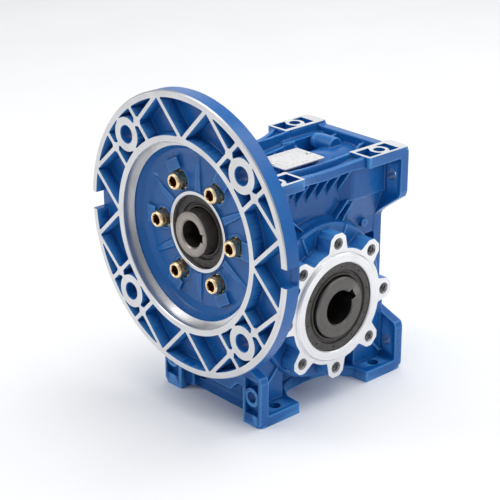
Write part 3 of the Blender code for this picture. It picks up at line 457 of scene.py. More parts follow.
def solid_turned(points, sides=ROUND):
    return turned(to_axis(points), sides)


def softened(profile, radius, steps=3):
    """A closed outline with each corner off the axis rounded, as a tool or a mould leaves it."""
    made = []
    for index, (x, y) in enumerate(profile):
        here = Vector((x, y))
        into = Vector(profile[index - 1]) - here
        out = Vector(profile[(index + 1) % len(profile)]) - here
        if x < 1e-6 or min(into.length, out.length) < 1e-6:
            made.append((x, y))
            continue
        reach = min(radius, 0.35 * into.length, 0.35 * out.length)
        start = here + into.normalized() * reach
        end = here + out.normalized() * reach
        for step in range(steps + 1):
            share = step / steps
            made.append(start.lerp(here, share).lerp(here.lerp(end, share), share).to_tuple())
    return made


def disc(radius, low, high, sides=ROUND):
    return solid_turned([(radius, low), (radius, high)], sides)


def tube(inner, outer, low, high, sides=ROUND):
    return turned([(inner, low), (outer, low), (outer, high), (inner, high)], sides)


def box(low, high):
    x0, y0, z0 = low
    x1, y1, z1 = high
    return prism([(x0, y0), (x1, y0), (x1, y1), (x0, y1)], z0, z1)


def placed(bm, matrix):
    bmesh.ops.transform(bm, matrix=matrix, verts=bm.verts)
    if matrix.determinant() < 0:
        bmesh.ops.reverse_faces(bm, faces=bm.faces)
    return bm


def moved(bm, x=0.0, y=0.0, z=0.0):
    return placed(bm, Matrix.Translation((x, y, z)))


def copied(bm, matrix):
    return placed(bm.copy(), matrix)


def joined(*parts):
    """All parts in one mesh, still as separate bodies."""
    whole = bmesh.new()
    for part in parts:
        mesh = bpy.data.meshes.new("joining")
        part.to_mesh(mesh)
        whole.from_mesh(mesh)
        bpy.data.meshes.remove(mesh)
        part.free()
    return whole


def repeated(bm, matrices):
    """One copy of a mesh at each place."""
    copies = [copied(bm, matrix) for matrix in matrices]
    bm.free()
    return joined(*copies)


def around(bm, count, start=0.0):
    """Copies of a mesh, evenly spaced about Z, with the first at the start angle."""
    turns = [start + 2 * pi * index / count for index in range(count)]
    return repeated(bm, [Matrix.Rotation(turn, 4, "Z") for turn in turns])


def mirrored_corners(bm):
    """A mesh in the +X +Y quarter, repeated in all four quarters."""
    return repeated(bm, [Matrix.Diagonal((sx, sy, 1, 1)) for sx in (1, -1) for sy in (1, -1)])


def both_sides(bm):
    """A mesh at +X, repeated at -X."""
    return repeated(bm, [Matrix.Diagonal((side, 1, 1, 1)) for side in (1, -1)])


def arc(centre, radius, start, end, steps):
    """Points on a circle, from the start angle to the end angle, in degrees."""
    turn = [radians(start + (end - start) * index / steps) for index in range(steps + 1)]
    return [(centre[0] + radius * cos(a), centre[1] + radius * sin(a)) for a in turn]


def rounded_rectangle(low, high, radius):
    (x0, y0), (x1, y1) = ([low[0] + radius, low[1] + radius], [high[0] - radius, high[1] - radius])
    corners = [((x1, y1), 0), ((x0, y1), 90), ((x0, y0), 180), ((x1, y0), 270)]
    return [point for centre, turn in corners for point in arc(centre, radius, turn, turn + 90, 5)]


def loft(sections):
    """A closed solid through sections that all have the same number of points."""
    bm = bmesh.new()
    rings = [[bm.verts.new(point) for point in section] for section in sections]
    for low, high in zip(rings, rings[1:]):
        for corner in range(len(low)):
            after = (corner + 1) % len(low)
            bm.faces.new((low[corner], low[after], high[after], high[corner]))
    bm.faces.new(reversed(rings[0]))
    bm.faces.new(rings[-1])
    bmesh.ops.recalc_face_normals(bm, faces=bm.faces)
    return bm


# ---------------------------------------------------------------- objects

def linked_object(name, data):
    made = bpy.data.objects.new(name, data)
    bpy.context.scene.collection.objects.link(made)
    return made


def raw_object(name, bm, slot_index=AS_MADE):
    """A working object in millimetres, with all its faces in one material slot."""
    for face in bm.faces:
        face.material_index = slot_index
    mesh = bpy.data.meshes.new(name)
    bm.to_mesh(mesh)
    bm.free()
    for finish in (PAINT, LOBE_METAL, DRILLED, EVEN_PAINT):
        mesh.materials.append(finish)
    return linked_object(name, mesh)


def applied(item):
    """Swaps an object's mesh for the one that its modifiers make."""
    view = bpy.context.evaluated_depsgraph_get()
    mesh = bpy.data.meshes.new_from_object(item.evaluated_get(view))
    item.modifiers.clear()
    old = item.data
    item.data = mesh
    bpy.data.meshes.remove(old)


def combine(item, bm, slot_index, operation):
    """One Boolean step with a tool whose faces bring their own material slot along."""
    tool = raw_object("tool", bm, slot_index)
    step = item.modifiers.new("step", "BOOLEAN")
    step.operation = operation
    step.solver = "MANIFOLD"
    step.object = tool
    applied(item)
    bpy.data.objects.remove(tool)


def cut(item, slot_index, *tools):
    """Takes tools away one after the other, and gives the new faces one material slot."""
    for tool in tools:
        combine(item, tool, slot_index, "DIFFERENCE")


def cast_object(name, solids, voxel, smoothing, keep):
    """Overlapping solids melted into one casting, with every cast corner rounded."""
    item = raw_object(name, joined(*solids))
    melt = item.modifiers.new("melt", "REMESH")
    melt.mode = "VOXEL"
    melt.voxel_size = voxel * COARSE
    soft = item.modifiers.new("soft", "SMOOTH")
    soft.factor = 0.5
    soft.iterations = smoothing
    item.modifiers.new("thin", "DECIMATE").ratio = keep
    applied(item)
    return item


def closed_slivers(item):
    """Takes out the hair-thin triangles that Boolean steps leave."""
    bm = bmesh.new()
    bm.from_mesh(item.data)
    bmesh.ops.dissolve_degenerate(bm, edges=bm.edges, dist=SLIVER)
    bm.to_mesh(item.data)
    bm.free()


def finished(item, body, node, slot, *materials):
    """Scales a working object to metres, and hands it to the frame."""
    closed_slivers(item)
    item.data.transform(Matrix.Scale(MM, 4))
    for index in range(len(item.data.materials)):
        item.data.materials[index] = materials[min(index, len(materials) - 1)]
    item.data.shade_smooth()
    item.data.set_sharp_from_angle(angle=SHARP_BEND)
    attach(item, body)
    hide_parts(node)


def finished_casting(item, node, metal):
    finished(item, "casing", node, "blue_paint", PAINT, metal, DRILLED, EVEN_PAINT)


def solid_piece(node, bm, matrix, body, slot, finish, cuts=(), addition=None):
    """A fine piece that stands for the CAD node of the same name."""
    item = raw_object(node + "_fine", bm)
    if addition:
        combine(item, addition, AS_MADE, "UNION")
    cut(item, AS_MADE, *cuts)
    item.data.transform(matrix)
    finished(item, body, node, slot, finish)


# ---------------------------------------------------------------- housing casting

def mirrored(half):
    """An outline from its +X half, which starts and ends on the middle line."""
    return half + [(-x, y) for x, y in reversed(half[1:-1])]


def end_plates():
    """The front and rear plates: wide at the pads, narrow at the waist."""
    edge, upper = HALF_WIDTH - CORNER_R, HEIGHT - PAD_HEIGHT
    half = [(0, 20), (20, 20), (27, 27), (PAD_INNER_X, 27), (PAD_INNER_X, -PROUD), (edge, -PROUD),
            *arc((edge, CORNER_R), CORNER_R, -80, 0, 6), (HALF_WIDTH, PAD_HEIGHT - 4),
            (HALF_WIDTH - 1.5, PAD_HEIGHT), (31, 45), (28.4, 47), (27, 50), (27, 116), (28.4, 119),
            (31, 121.5), (HALF_WIDTH - 1.5, upper), (HALF_WIDTH, upper + 4),
            *arc((edge, HEIGHT - CORNER_R), CORNER_R, 0, 80, 6), (edge, HEIGHT + PROUD),
            (PAD_INNER_X, HEIGHT + PROUD), (PAD_INNER_X - 2, HEIGHT - 2.5), (0, HEIGHT - 2.5)]
    rear = placed(prism(mirrored(half), -HALF_LENGTH, PLATE - HALF_LENGTH), UPRIGHT)
    return [rear, copied(rear, Matrix.Diagonal((1, -1, 1, 1)))]


def foot_plate():
    """Bottom plate: four feet, bays cut in between them on all four sides."""
    quarter = [(0, 60), *arc((PAD_INNER_X - 4, 64), 4, 270, 350, 4), (PAD_INNER_X, HALF_LENGTH - 2),
               *arc((HALF_WIDTH - CORNER_R, HALF_LENGTH - CORNER_R), CORNER_R, 90, 0, 6),
               (HALF_WIDTH, 34), (38, 33), *arc((40, 12), 19, 130, 180, 6), (20, 0)]
    return prism(mirrored(quarter + [(x, -y) for x, y in reversed(quarter[:-1])]), -PROUD, PLATE)


def side_rail():
    """Rail along one side of the top: it dips and bows in between the pads, and holds a groove."""
    sections, web = [], []
    count = 34
    for index in range(count + 1):
        y = RAIL_REACH * (2 * index / count - 1)
        share = min(1.0, abs(y) / 33)
        outer = RAIL_X + 6.5 * share ** 3
        top = RAIL_TOP + 4.0 * share ** 2.3
        low = RAIL_LOW + 3.4 * share ** 1.6
        crest = HEIGHT - 1.6 + 1.4 * share ** 2
        rail = [(30, low), (outer, low), (outer, top), (outer - 3.2, top + 0.3),
                (outer - 4.0, top - 3.0), (34.2, top - 3.0), (33.2, crest), (31.2, crest),
                (30.8, low + 1)]
        wall = [(25.6, 138), (28.2, 138), (28.2, low - 1), (32, low + 1.2), (25.6, low + 1.2)]
        sections.append([(x, y, z) for x, z in rail])
        web.append([(x, y, z) for x, z in wall])
    return joined(loft(sections), loft(web))


def top_frame():
    """Four top pads and the two rails that join them."""
    pad = rounded_rectangle((PAD_INNER_X - 1.2, PAD_INNER_Y), (HALF_WIDTH, HALF_LENGTH - 1), 1.2)
    pads = mirrored_corners(prism(pad, HEIGHT - PLATE, HEIGHT + PROUD))
    return [pads, both_sides(side_rail())]


def gusset(points, y, thickness):
    """A thin rib across Y, from its outline in X and Z."""
    return moved(placed(prism(points, -thickness / 2, thickness / 2), UPRIGHT), y=y)


def side_gusset(points, x, thickness):
    """A thin rib across X, from its outline in Y and Z."""
    return moved(placed(prism(points, -thickness / 2, thickness / 2), ACROSS), x=x)


def top_ribs():
    """Curved ribs from the pads down to the worm tube, teeth under the rails, braces at the ends."""
    start, foot, floor = PAD_INNER_X, 14.0, 161.0
    top = HEIGHT - 1
    turns = [radians(10 * step) for step in range(10)]
    sweep = [(foot + (start - foot) * cos(turn), top - (top - floor) * sin(turn)) for turn in turns]
    curved = [(start, 148), *sweep, (foot - 3, floor - 1), (foot - 3, 148)]
    ribs = [both_sides(gusset(curved, y, 2.6)) for y in (34.5, -34.5)]
    tooth = [(24, 140), (26, 142), (RAIL_X - 0.8, RAIL_LOW + 0.2), (RAIL_X - 0.8, RAIL_LOW + 1.5),
             (24, RAIL_LOW)]
    ribs += [both_sides(gusset(tooth, y, 1.8)) for y in (-27, -17, -7, 3, 13, 23.5)]
    brace = [(44, 150), (64, 150), (64, 169), (60, 169), (54, 163)]
    return ribs + [side_gusset(brace, x, 2.0) for x in (-14.0, 14.0)]


def wall_ribs():
    """Two slanting ribs from the drum up to each upper wall, a core boss, and ribs above the feet."""
    outlines = [([(34, 42), (36, 42), (64, 12), (61, 12)], 31, 14)]
    for (low_y, low_z), (high_y, high_z) in (((13.5, 129), (28, 139)), ((20, 125), (34, 138))):
        strut = [(low_y, low_z - 3), (low_y + 1.2, low_z - 3), (high_y + 1.6, high_z),
                 (high_y, high_z + 0.6)]
        outlines.append((strut, 28.5, 12))
    ribs = [both_sides(side_gusset([(side * y, z) for y, z in points], x, thickness))
            for points, x, thickness in outlines for side in (1, -1)]
    boss = moved(disc(3.2, 20, 30, 32), 51, 115 - OUTPUT_Z)
    return ribs + [both_sides(placed(boss, OUTPUT_FRAME))]


def corner_walls():
    """The inner walls that close each foot and each top pad; the upper ones lean in at the bottom."""
    lower = mirrored_corners(box((26, 36, 3), (WALL_X, 66, 60)))
    levels = ((104, 26), (118, 27), (WALL_LOW - 1.2, WALL_X - 2.2), (WALL_LOW, WALL_X),
              (HEIGHT - 6.5, WALL_X))
    upper = loft([[(wall - 9.6, 22, z), (wall - 8.6, 23, z), (wall - 1, 30.5, z), (wall, 33, z),
                   (wall, 66, z), (wall - 9.6, 66, z)] for z, wall in levels])
    return [lower, mirrored_corners(upper)]


def drum():
    """Wheel drum about the output axis, stepped on its face, with thin ribs between the lobes."""
    side = [(DRUM_EDGE_R - 1.5, DRUM_FACE_X), (DRUM_EDGE_R, DRUM_FACE_X - 1.2), (DRUM_EDGE_R + 0.4, 33),
            (DRUM_RIDGE_R - 1.4, 32), (DRUM_RIDGE_R, DRUM_RIDGE_X + 2), (DRUM_RIDGE_R, DRUM_RIDGE_X),
            (DRUM_RIDGE_R, -DRUM_RIDGE_X), (DRUM_EDGE_R, -DRUM_FACE_X)]
    return [solid_turned(side), face_ribs(DRUM_FACE_X, DRUM_EDGE_R - 0.6)]


def face_ribs(face, reach):
    """Thin ribs between the lobes, on a face that looks along the output axis."""
    rib = box((LOBE_ROOT_R - 2, -0.9, face - 1), (reach, 0.9, face + 1.3))
    return around(rib, LOBE_COUNT, pi / LOBE_COUNT)


def lobed_outline():
    """Round face with eight lobes that carry the tapped holes, as an outline about Z."""
    lobe = [(41.8, -9.0), (51.6, -7.2), (LOBE_TIP_R, -3.6), (LOBE_TIP_R, 3.6), (51.6, 7.2), (41.8, 9.0)]
    outline = []
    for index in range(LOBE_COUNT):
        angle = 2 * pi * index / LOBE_COUNT
        outline += [(r * cos(angle) - t * sin(angle), r * sin(angle) + t * cos(angle)) for r, t in lobe]
        middles = [angle + 2 * pi * turn / LOBE_COUNT for turn in (0.42, 0.5, 0.58)]
        outline += [(LOBE_ROOT_R * cos(middle), LOBE_ROOT_R * sin(middle)) for middle in middles]
    return outline


def lobed_neck(start):
    """The lobed face plate and its pilot ring, left proud for machining."""
    plate = prism(lobed_outline(), start, LOBE_FACE_X + PROUD)
    pilot = tube(OUTPUT_SEAL_R - 3, PILOT_R + 1, start, PILOT_X + PROUD)
    return [plate, pilot]


def face_cut():
    """Faces the lobes and the pilot, and chamfers the pilot's edge."""
    return solid_turned([(PILOT_R - 0.9, PILOT_X), (PILOT_R, PILOT_X - 0.9), (PILOT_R, LOBE_FACE_X),
                         (LOBE_TIP_R + 8, LOBE_FACE_X), (LOBE_TIP_R + 8, PILOT_X + 4)])


def output_bore(start):
    """Points of the output bearing's bore, from its start, and of the seal's bore outside it."""
    bearing_r, seal_r = OUTPUT_BEARING[1] + GAP, OUTPUT_SEAL_R + GAP
    bearing_end = OUTPUT_BEARING_X + OUTPUT_BEARING[2] + GAP
    return [(bearing_r, start), (bearing_r, bearing_end), (seal_r, bearing_end),
            (seal_r, PILOT_X - 0.8), (seal_r + 0.8, PILOT_X), (seal_r + 0.8, PILOT_X + 3)]


def wheel_space():
    """The wheel's cavity, the bearing bore and the seal bore, about the output axis."""
    return solid_turned([(CAVITY_R, -DRUM_FACE_X - PROUD), (CAVITY_R, CAVITY_END_X),
                         *output_bore(CAVITY_END_X)])


def tapped_hole(radius, depth, pitch=1.25):
    """A tapped hole's cutter, opening at height 0: countersink, thread crests and a drill point."""
    profile = [(0, -depth - radius * 0.55), (radius - 0.5, -depth)]
    height = -depth + pitch
    while height < -pitch * 1.2:
        profile += [(radius - 0.45, height - pitch / 2), (radius + 0.25, height)]
        height += pitch
    profile += [(radius - 0.45, -1.1), (radius + 0.75, 0), (radius + 0.75, 0.5), (0, 0.5)]
    return turned(profile, 32)


def lobe_holes():
    hole = tapped_hole(LOBE_HOLE_R, LOBE_HOLE_DEPTH)
    return around(moved(hole, LOBE_PCD_R, 0, LOBE_FACE_X), LOBE_COUNT)


def worm_tube():
    """Worm tube with its widened front seat and the rear bearing's dome (heights run to -Y)."""
    return solid_turned([(TUBE_R, -HALF_LENGTH), (TUBE_R, -34), (TUBE_R - 1.5, -28), (TUBE_R - 1.5, 46),
                         (HOUSING_SEAT_R, 56), (HOUSING_SEAT_R, HALF_LENGTH)])


def worm_bores():
    """Bearing bores, circlip grooves and the worm's own space, all about the worm axis."""
    front_r, rear_r = FRONT_BEARING[1] + GAP, REAR_BEARING[1] + GAP
    lip_r, narrow, deep = front_r - 5, 19.5, 1.6
    rear_start, front_start = GAP - REAR_BEARING_Y, FRONT_BEARING_OUT - GAP
    front_groove = FRONT_BEARING_OUT + FRONT_BEARING[2] + GAP
    rear_groove = REAR_START - GAP
    groove, end = CIRCLIP + GAP, HALF_LENGTH + PROUD
    return solid_turned([(rear_r, -end), (rear_r, rear_groove - groove),
                         (rear_r + deep, rear_groove - groove), (rear_r + deep, rear_groove),
                         (rear_r, rear_groove), (rear_r, rear_start), (narrow, rear_start),
                         (narrow, front_start - 2), (lip_r, front_start - 2), (lip_r, front_start),
                         (front_r, front_start), (front_r, front_groove),
                         (front_r + deep, front_groove), (front_r + deep, front_groove + groove),
                         (front_r, front_groove + groove), (front_r, end)])


def pad_pocket(half, reach):
    """A pocket on the +Y side of a bolt hole, whose inner end curves round the hole's ring."""
    curve = [(max(-half, min(half, x)), y) for x, y in arc((0, 0), PAD_RING_R, 142, 38, 10)]
    outline = [(-half, reach), (-half, curve[0][1]), *curve, (half, curve[-1][1]), (half, reach)]
    return prism(outline, -4.5, PROUD + 1)


def pad_pockets():
    """Two pockets beside the bolt hole of every pad, on top and on both ends."""
    top = joined(pad_pocket(7.0, 13.0), placed(pad_pocket(7.0, 16.6), HALF_TURN))
    rear = joined(pad_pocket(6.3, 13.4), placed(pad_pocket(6.3, 13.4), HALF_TURN))
    rear = placed(rear, Matrix.Translation((BOLT_X, HALF_LENGTH, PAD_BOLT_Z)) @ TO_REAR)
    high = copied(rear, Matrix.Translation((0, 0, HEIGHT - 2 * PAD_BOLT_Z)))
    top = moved(top, BOLT_X - 0.2, BOLT_Y, HEIGHT)
    return mirrored_corners(top), mirrored_corners(joined(rear, high))


def bolt_holes():
    """Bolt holes through the feet, the top pads and the four pads of each end plate."""
    holes = [moved(disc(BOLT_HOLE_R, low, high, 32), BOLT_X, BOLT_Y)
             for low, high in ((-PROUD - 1, PLATE + PROUD), (HEIGHT - PLATE - 4, HEIGHT + PROUD + 1))]
    for height in (PAD_BOLT_Z, HEIGHT - PAD_BOLT_Z):
        hole = disc(BOLT_HOLE_R, HALF_LENGTH - PLATE - 3, HALF_LENGTH + PROUD, 32)
        holes.append(moved(placed(hole, TO_REAR), BOLT_X, 0, height))
    return mirrored_corners(joined(*holes))


def cover_ring(bm):
    """Copies on the cover screws' circle, with heights along the axis that the copies are about."""
    return around(moved(bm, x=COVER_SCREW_R), COVER_SCREW_COUNT, COVER_SCREW_TURN)


def cap_screw_ring(bm):
    """Copies on the circle of the motor flange's screws."""
    return around(moved(bm, x=CAP_SCREW_PCD_R), CAP_SCREW_COUNT)


def housing():
    """Body, drum, worm tube, feet, plates, pads and ribs in one casting, then its machining."""
    ears = placed(cover_ring(disc(EAR_R, 20, DRUM_FACE_X, 48)), FAR_SIDE)
    solids = [box((-28, -38, 60), (28, 38, 140)), box((-20, -59.5, 2), (20, 59.5, 60)),
              box((-14, -65, 40), (14, 65, 130)), box((-8.5, -14, 150), (8.5, 24, PLATE_LOW.z - GAP))]
    solids += [placed(solid, OUTPUT_FRAME) for solid in (*drum(), *lobed_neck(CAVITY_END_X), ears)]
    solids += [placed(solid, INPUT_FRAME)
               for solid in (worm_tube(), cap_screw_ring(disc(6.3, 50, HALF_LENGTH, 32)))]
    solids += [placed(disc(6.5, 2, FILLER_SEAT, 48), FILLER_FRAME)]
    solids += [foot_plate(), *end_plates(), *top_frame(), *corner_walls(), *top_ribs(), *wall_ribs()]
    item = cast_object("housing_casting", solids, 0.6, 4, 0.22)

    wide, long = 2 * HALF_WIDTH, 2 * HALF_LENGTH
    cut(item, MACHINED, box((-wide, -long, HEIGHT), (wide, long, HEIGHT + 9)),
        box((-wide, -long, -9), (wide, long, 0)))
    cut(item, CUT_AND_PAINTED, *pad_pockets(), bolt_holes())
    cut(item, MACHINED, *(placed(tool, OUTPUT_FRAME) for tool in (face_cut(), wheel_space())))
    cut(item, HOLE, placed(lobe_holes(), OUTPUT_FRAME))
    ear_holes = placed(cover_ring(disc(M6_R + GAP, 24, DRUM_FACE_X + PROUD, 24)), FAR_SIDE)
    screw_holes = cap_screw_ring(disc(CAP_SCREW_R + GAP, 54, HALF_LENGTH + PROUD, 24))
    drain_r = PLUG_HEAD_R + 3
    drain = solid_turned([(PLUG_R + GAP, DRAIN_SEAT - 14), (PLUG_R + GAP, DRAIN_SEAT),
                          (drain_r, DRAIN_SEAT), (drain_r, 1)], 48)
    cut(item, MACHINED, placed(ear_holes, OUTPUT_FRAME),
        placed(tube(CAVITY_R - 4, DRUM_RIDGE_R + 8, DRUM_FACE_X, DRUM_FACE_X + 5), COVER_FRAME),
        placed(worm_bores(), INPUT_FRAME), placed(screw_holes, INPUT_FRAME),
        placed(disc(PLUG_R + GAP, FILLER_SEAT - 14, FILLER_SEAT + PROUD, 32), FILLER_FRAME),
        placed(drain, DRAIN_FRAME))
    finished_casting(item, "housing", LOBE_METAL)


# ---------------------------------------------------------------- motor flange

RIB_ENDS = (                             # the ribs of one eighth of the lattice
    ((0.0, 68.0), (-25.5, 94.5)),
    ((-24.5, 94.5), (-54.0, 62.3)),
    ((-56.0, 80.5), (-35.0, 59.0)),
)
RIB_NODE = (-46.5, 70.3)


def rib(start, end, low, high):
    """A drafted rib between two points of the XY plane, wider at its foot."""
    along = Vector(end) - Vector(start)
    foot, crest = RIB_WIDTH / 2 + 0.9, RIB_WIDTH / 2
    section = [(-foot, low), (foot, low), (crest, high), (-crest, high)]
    bar = loft([[(x, y, z) for y, z in section] for x in (0, along.length)])
    turn = Matrix.Rotation(atan2(along.y, along.x), 4, "Z")
    return placed(bar, Matrix.Translation((*start, 0)) @ turn)


def flange_lattice(floor):
    """Crossing ribs between the inner ring and the rim, and the four bolt bosses."""
    top = FLANGE_FACE + PROUD
    eighth = [rib(start, end, floor - 1, top) for start, end in RIB_ENDS]
    eighth.append(moved(disc(3.4, floor - 1, top, 24), *RIB_NODE))
    mirror = [copied(part, Matrix.Diagonal((-1, 1, 1, 1))) for part in eighth]
    boss = solid_turned([(FLANGE_BOSS_R + 0.8, floor - 1), (FLANGE_BOSS_R, top)], 48)
    return [around(joined(*eighth, *mirror), 4), around(moved(boss, x=FLANGE_BOLT_R), 4, pi / 4)]


def bowl_details():
    """Screw seats with square pads outside them, and tapering stiffeners, on the bowl's floor."""
    root = FLOOR_OUT - 2
    boss = moved(disc(8.6, root, FLOOR_OUT + 0.7, 48), x=CAP_SCREW_PCD_R)
    seat = box((CAP_SCREW_PCD_R - 8, -6.5, root), (46, 6.5, FLOOR_OUT + 0.7))
    block = box((44.6, -6.5, root), (53, 6.5, FLOOR_OUT + 2.8))
    taper = ((HUB_R - 1, 2.9, 2.2), (44, 1.9, 1.7), (57, 0.7, 0.1))
    stiffener = loft([[(radius, -half - 0.6, root), (radius, half + 0.6, root),
                       (radius, half, FLOOR_OUT + rise), (radius, -half, FLOOR_OUT + rise)]
                      for radius, half, rise in taper])
    return [*(around(part, CAP_SCREW_COUNT) for part in (boss, seat, block)),
            around(stiffener, CAP_SCREW_COUNT, pi / CAP_SCREW_COUNT)]


def input_flange():
    """Bowl, rim, lattice and hub in one casting, then its turned faces and holes."""
    floor, ledge = FLANGE_FACE - POCKET_DEPTH, FLANGE_FACE - SPIGOT_DEPTH
    seat, top = HALF_LENGTH + GAP, FLANGE_FACE + PROUD
    seat_cast, hub_face = seat - PROUD, FLOOR_OUT + HUB_RISE
    rim_r, air_r = FLANGE_R + 1.6, FLANGE_R + 5
    profile = [(FLANGE_SEAT_R, seat_cast), (FLANGE_SEAT_R, seat + 1.5), (RING_OUTER_R, 79.5),
               (RIM_INNER_R + 1.5, 82), (FLANGE_R + 1, 84), (rim_r, 85.5), (rim_r, top),
               (RIM_INNER_R, top), (RIM_INNER_R - 0.8, floor), (RING_OUTER_R + 0.8, floor),
               (RING_OUTER_R, top), (SPIGOT_R - 3.4, top), (SPIGOT_R - 3.6, ledge), (61.5, ledge - 1),
               (58.5, 82.2), (53, FLOOR_OUT), (HUB_R + 2, FLOOR_OUT), (HUB_R + 0.8, FLOOR_OUT + 1),
               (HUB_R + 0.8, hub_face + PROUD)]
    solids = [solid_turned(profile, 128), *flange_lattice(floor), *bowl_details()]
    item = cast_object("flange_casting", solids, 0.52, 4, 0.22)

    face = solid_turned([(SPIGOT_R, ledge), (SPIGOT_R, FLANGE_FACE - 0.5),
                         (SPIGOT_R + 0.5, FLANGE_FACE), (FLANGE_R - 0.8, FLANGE_FACE),
                         (FLANGE_R + 1, FLANGE_FACE - 1.8), (air_r, FLANGE_FACE - 1.8),
                         (air_r, top + 3)], 160)
    bore = solid_turned([(HUB_BORE_R, seat_cast - 2), (HUB_BORE_R, hub_face - 0.3),
                         (HUB_BORE_R + 0.3, hub_face), (HUB_BORE_R + 0.3, ledge)])
    wide_r = FLANGE_BOLT_HOLE_R + 0.6
    bolt_hole = solid_turned([(FLANGE_BOLT_HOLE_R, 70), (FLANGE_BOLT_HOLE_R, FLANGE_FACE - 0.6),
                              (wide_r, FLANGE_FACE), (wide_r, top)], 40)
    screw_r, head_r = CAP_SCREW_R + GAP, CAP_HEAD_R + 2 * GAP
    screw_hole = solid_turned([(screw_r, 60), (screw_r, CAP_SEAT_OUT), (head_r, CAP_SEAT_OUT),
                               (head_r, FLANGE_FACE)], 40)
    notch = box((RIM_INNER_R - 1.5, -NOTCH_HALF, floor), (FLANGE_R + 4, NOTCH_HALF, top + 2))
    cut(item, CUT_AND_PAINTED, tube(FLANGE_R, air_r, 70, top + 3, 160))
    cut(item, MACHINED, face, disc(HUB_R + 1.2, hub_face, ledge + 1), bore,
        disc(FLANGE_SEAT_R + 4, seat_cast - 4, seat))
    cut(item, CUT_AND_PAINTED, tube(HUB_R, HUB_R + 1.6, FLOOR_OUT + 1.7, ledge + 1), around(notch, 2),
        around(moved(bolt_hole, x=FLANGE_BOLT_R), 4, pi / 4))
    cut(item, HOLE, cap_screw_ring(screw_hole))
    item.data.transform(INPUT_FRAME)
    finished_casting(item, "input_flange", FLANGE_METAL)


# ---------------------------------------------------------------- side cover

def side_cover():
    """Bearing cover on the far side: disc, ears and lobed neck, then its spigot, bores and holes."""
    seat, spigot_r = DRUM_FACE_X + GAP, CAVITY_R - GAP
    low = seat - PROUD
    plate = solid_turned([(DRUM_EDGE_R, low), (DRUM_EDGE_R, COVER_FACE - 1.5),
                          (DRUM_EDGE_R - 1.5, COVER_FACE)], 128)
    solids = [plate, cover_ring(disc(EAR_R, low, COVER_FACE, 48)), *lobed_neck(COVER_FACE - 4),
              face_ribs(COVER_FACE, DRUM_EDGE_R - 6)]
    item = cast_object("cover_casting", solids, 0.7, 3, 0.28)
    groove_r = spigot_r - 2.4
    spigot = turned([(20, 27), (46, 27), (46, 33), (spigot_r, 33), (spigot_r, 34.4), (groove_r, 34.4),
                     (groove_r, 37.6), (spigot_r, 37.6), (spigot_r, seat + 1), (20, seat + 1)])
    cut(item, MACHINED, disc(DRUM_RIDGE_R + 9, 20, seat))
    combine(item, spigot, MACHINED, "UNION")
    cut(item, MACHINED, face_cut(), solid_turned(output_bore(20)))
    cut(item, HOLE, cover_ring(disc(M6_R + GAP, 20, PILOT_X, 24)), lobe_holes())
    item.data.transform(COVER_FRAME)
    finished_casting(item, "side_cover", LOBE_METAL)


# ---------------------------------------------------------------- screws and small pieces

def cap_screw_mesh(radius, head_radius, head_length, tip):
    """Socket-head cap screw: knurled head on height 0 and threaded shank to the tip; cap_screw cuts the
    hexagon socket.
    """
    pitch = radius * 0.3
    height = tip + 0.7
    shank = [(radius - 0.8, tip), (radius - 0.1, height)]
    while height < -6 - pitch:
        shank += [(radius - 0.45, height + pitch / 2), (radius - 0.05, height + pitch)]
        height += pitch
    shank += [(radius - 0.05, -0.4), (radius + 0.25, 0)]
    head = [(head_radius - 0.3, 0), (head_radius, 0.3), (head_radius, head_length * 0.18),
            (head_radius, head_length * 0.2 + 0.02), (head_radius, head_length - 1.3),
            (head_radius - 0.3, head_length - 0.8), (head_radius - 1.1, head_length)]
    bm = solid_turned(shank + head)
    for vertex in bm.verts:
        reach = vertex.co.xy.length
        if reach > head_radius - 0.01 and head_length * 0.19 < vertex.co.z < head_length - 0.9:
            if round(atan2(vertex.co.y, vertex.co.x) * ROUND / (2 * pi)) % 2:
                vertex.co.xy *= (head_radius - 0.14) / reach
    return bm


def hexagon_socket(across, depth, top):
    """A hexagonal socket with a drill point at the bottom, and a small countersink."""
    corner = across / 2 / cos(pi / 6)
    bottom = top - depth
    hexagon = turned([(0, bottom - 0.8), (corner, bottom), (corner, top + 1), (0, top + 1)], 6)
    sink = solid_turned([(corner - 0.35, top - 0.5), (corner + 0.25, top + 0.1)], 48)
    return hexagon, sink


def ring_of_frames(base, radius, height, count, start=0.0):
    """Places on a circle about the base's Z axis."""
    turns = [start + 2 * pi * index / count for index in range(count)]
    out = Matrix.Translation((radius, 0, height))
    return [base @ Matrix.Rotation(turn, 4, "Z") @ out for turn in turns]


def numbered_pieces(node, item, places, slot, finish, twist=0.0):
    """Fine copies of one working mesh, each standing for its numbered CAD node."""
    for number, place in enumerate(places, 1):
        copy = linked_object(f"{node}_{number}_fine", item.data.copy())
        copy.data.transform(place @ Matrix.Rotation(twist * number, 4, "Z"))
        finished(copy, "casing", f"{node}_{number}", slot, finish)
    bpy.data.objects.remove(item)


def cap_screw(radius, head_radius, head_length, tip, across):
    item = raw_object("screw", cap_screw_mesh(radius, head_radius, head_length, tip))
    cut(item, AS_MADE, *hexagon_socket(across, head_length * 0.55, head_length))
    return item


def spring_washer(inner, outer, height):
    """A split spring washer, its ends sprung a little apart."""
    sections = []
    count = 60
    opening = radians(5)
    for index in range(count + 1):
        turn = opening + 2 * (pi - opening) * index / count
        rise = 0.25 * index / count
        corners = [(inner, rise), (outer, rise), (outer, rise + height), (inner, rise + height)]
        sections.append([(r * cos(turn), r * sin(turn), z) for r, z in softened(corners, 0.2, 2)])
    return raw_object("washer", loft(sections))


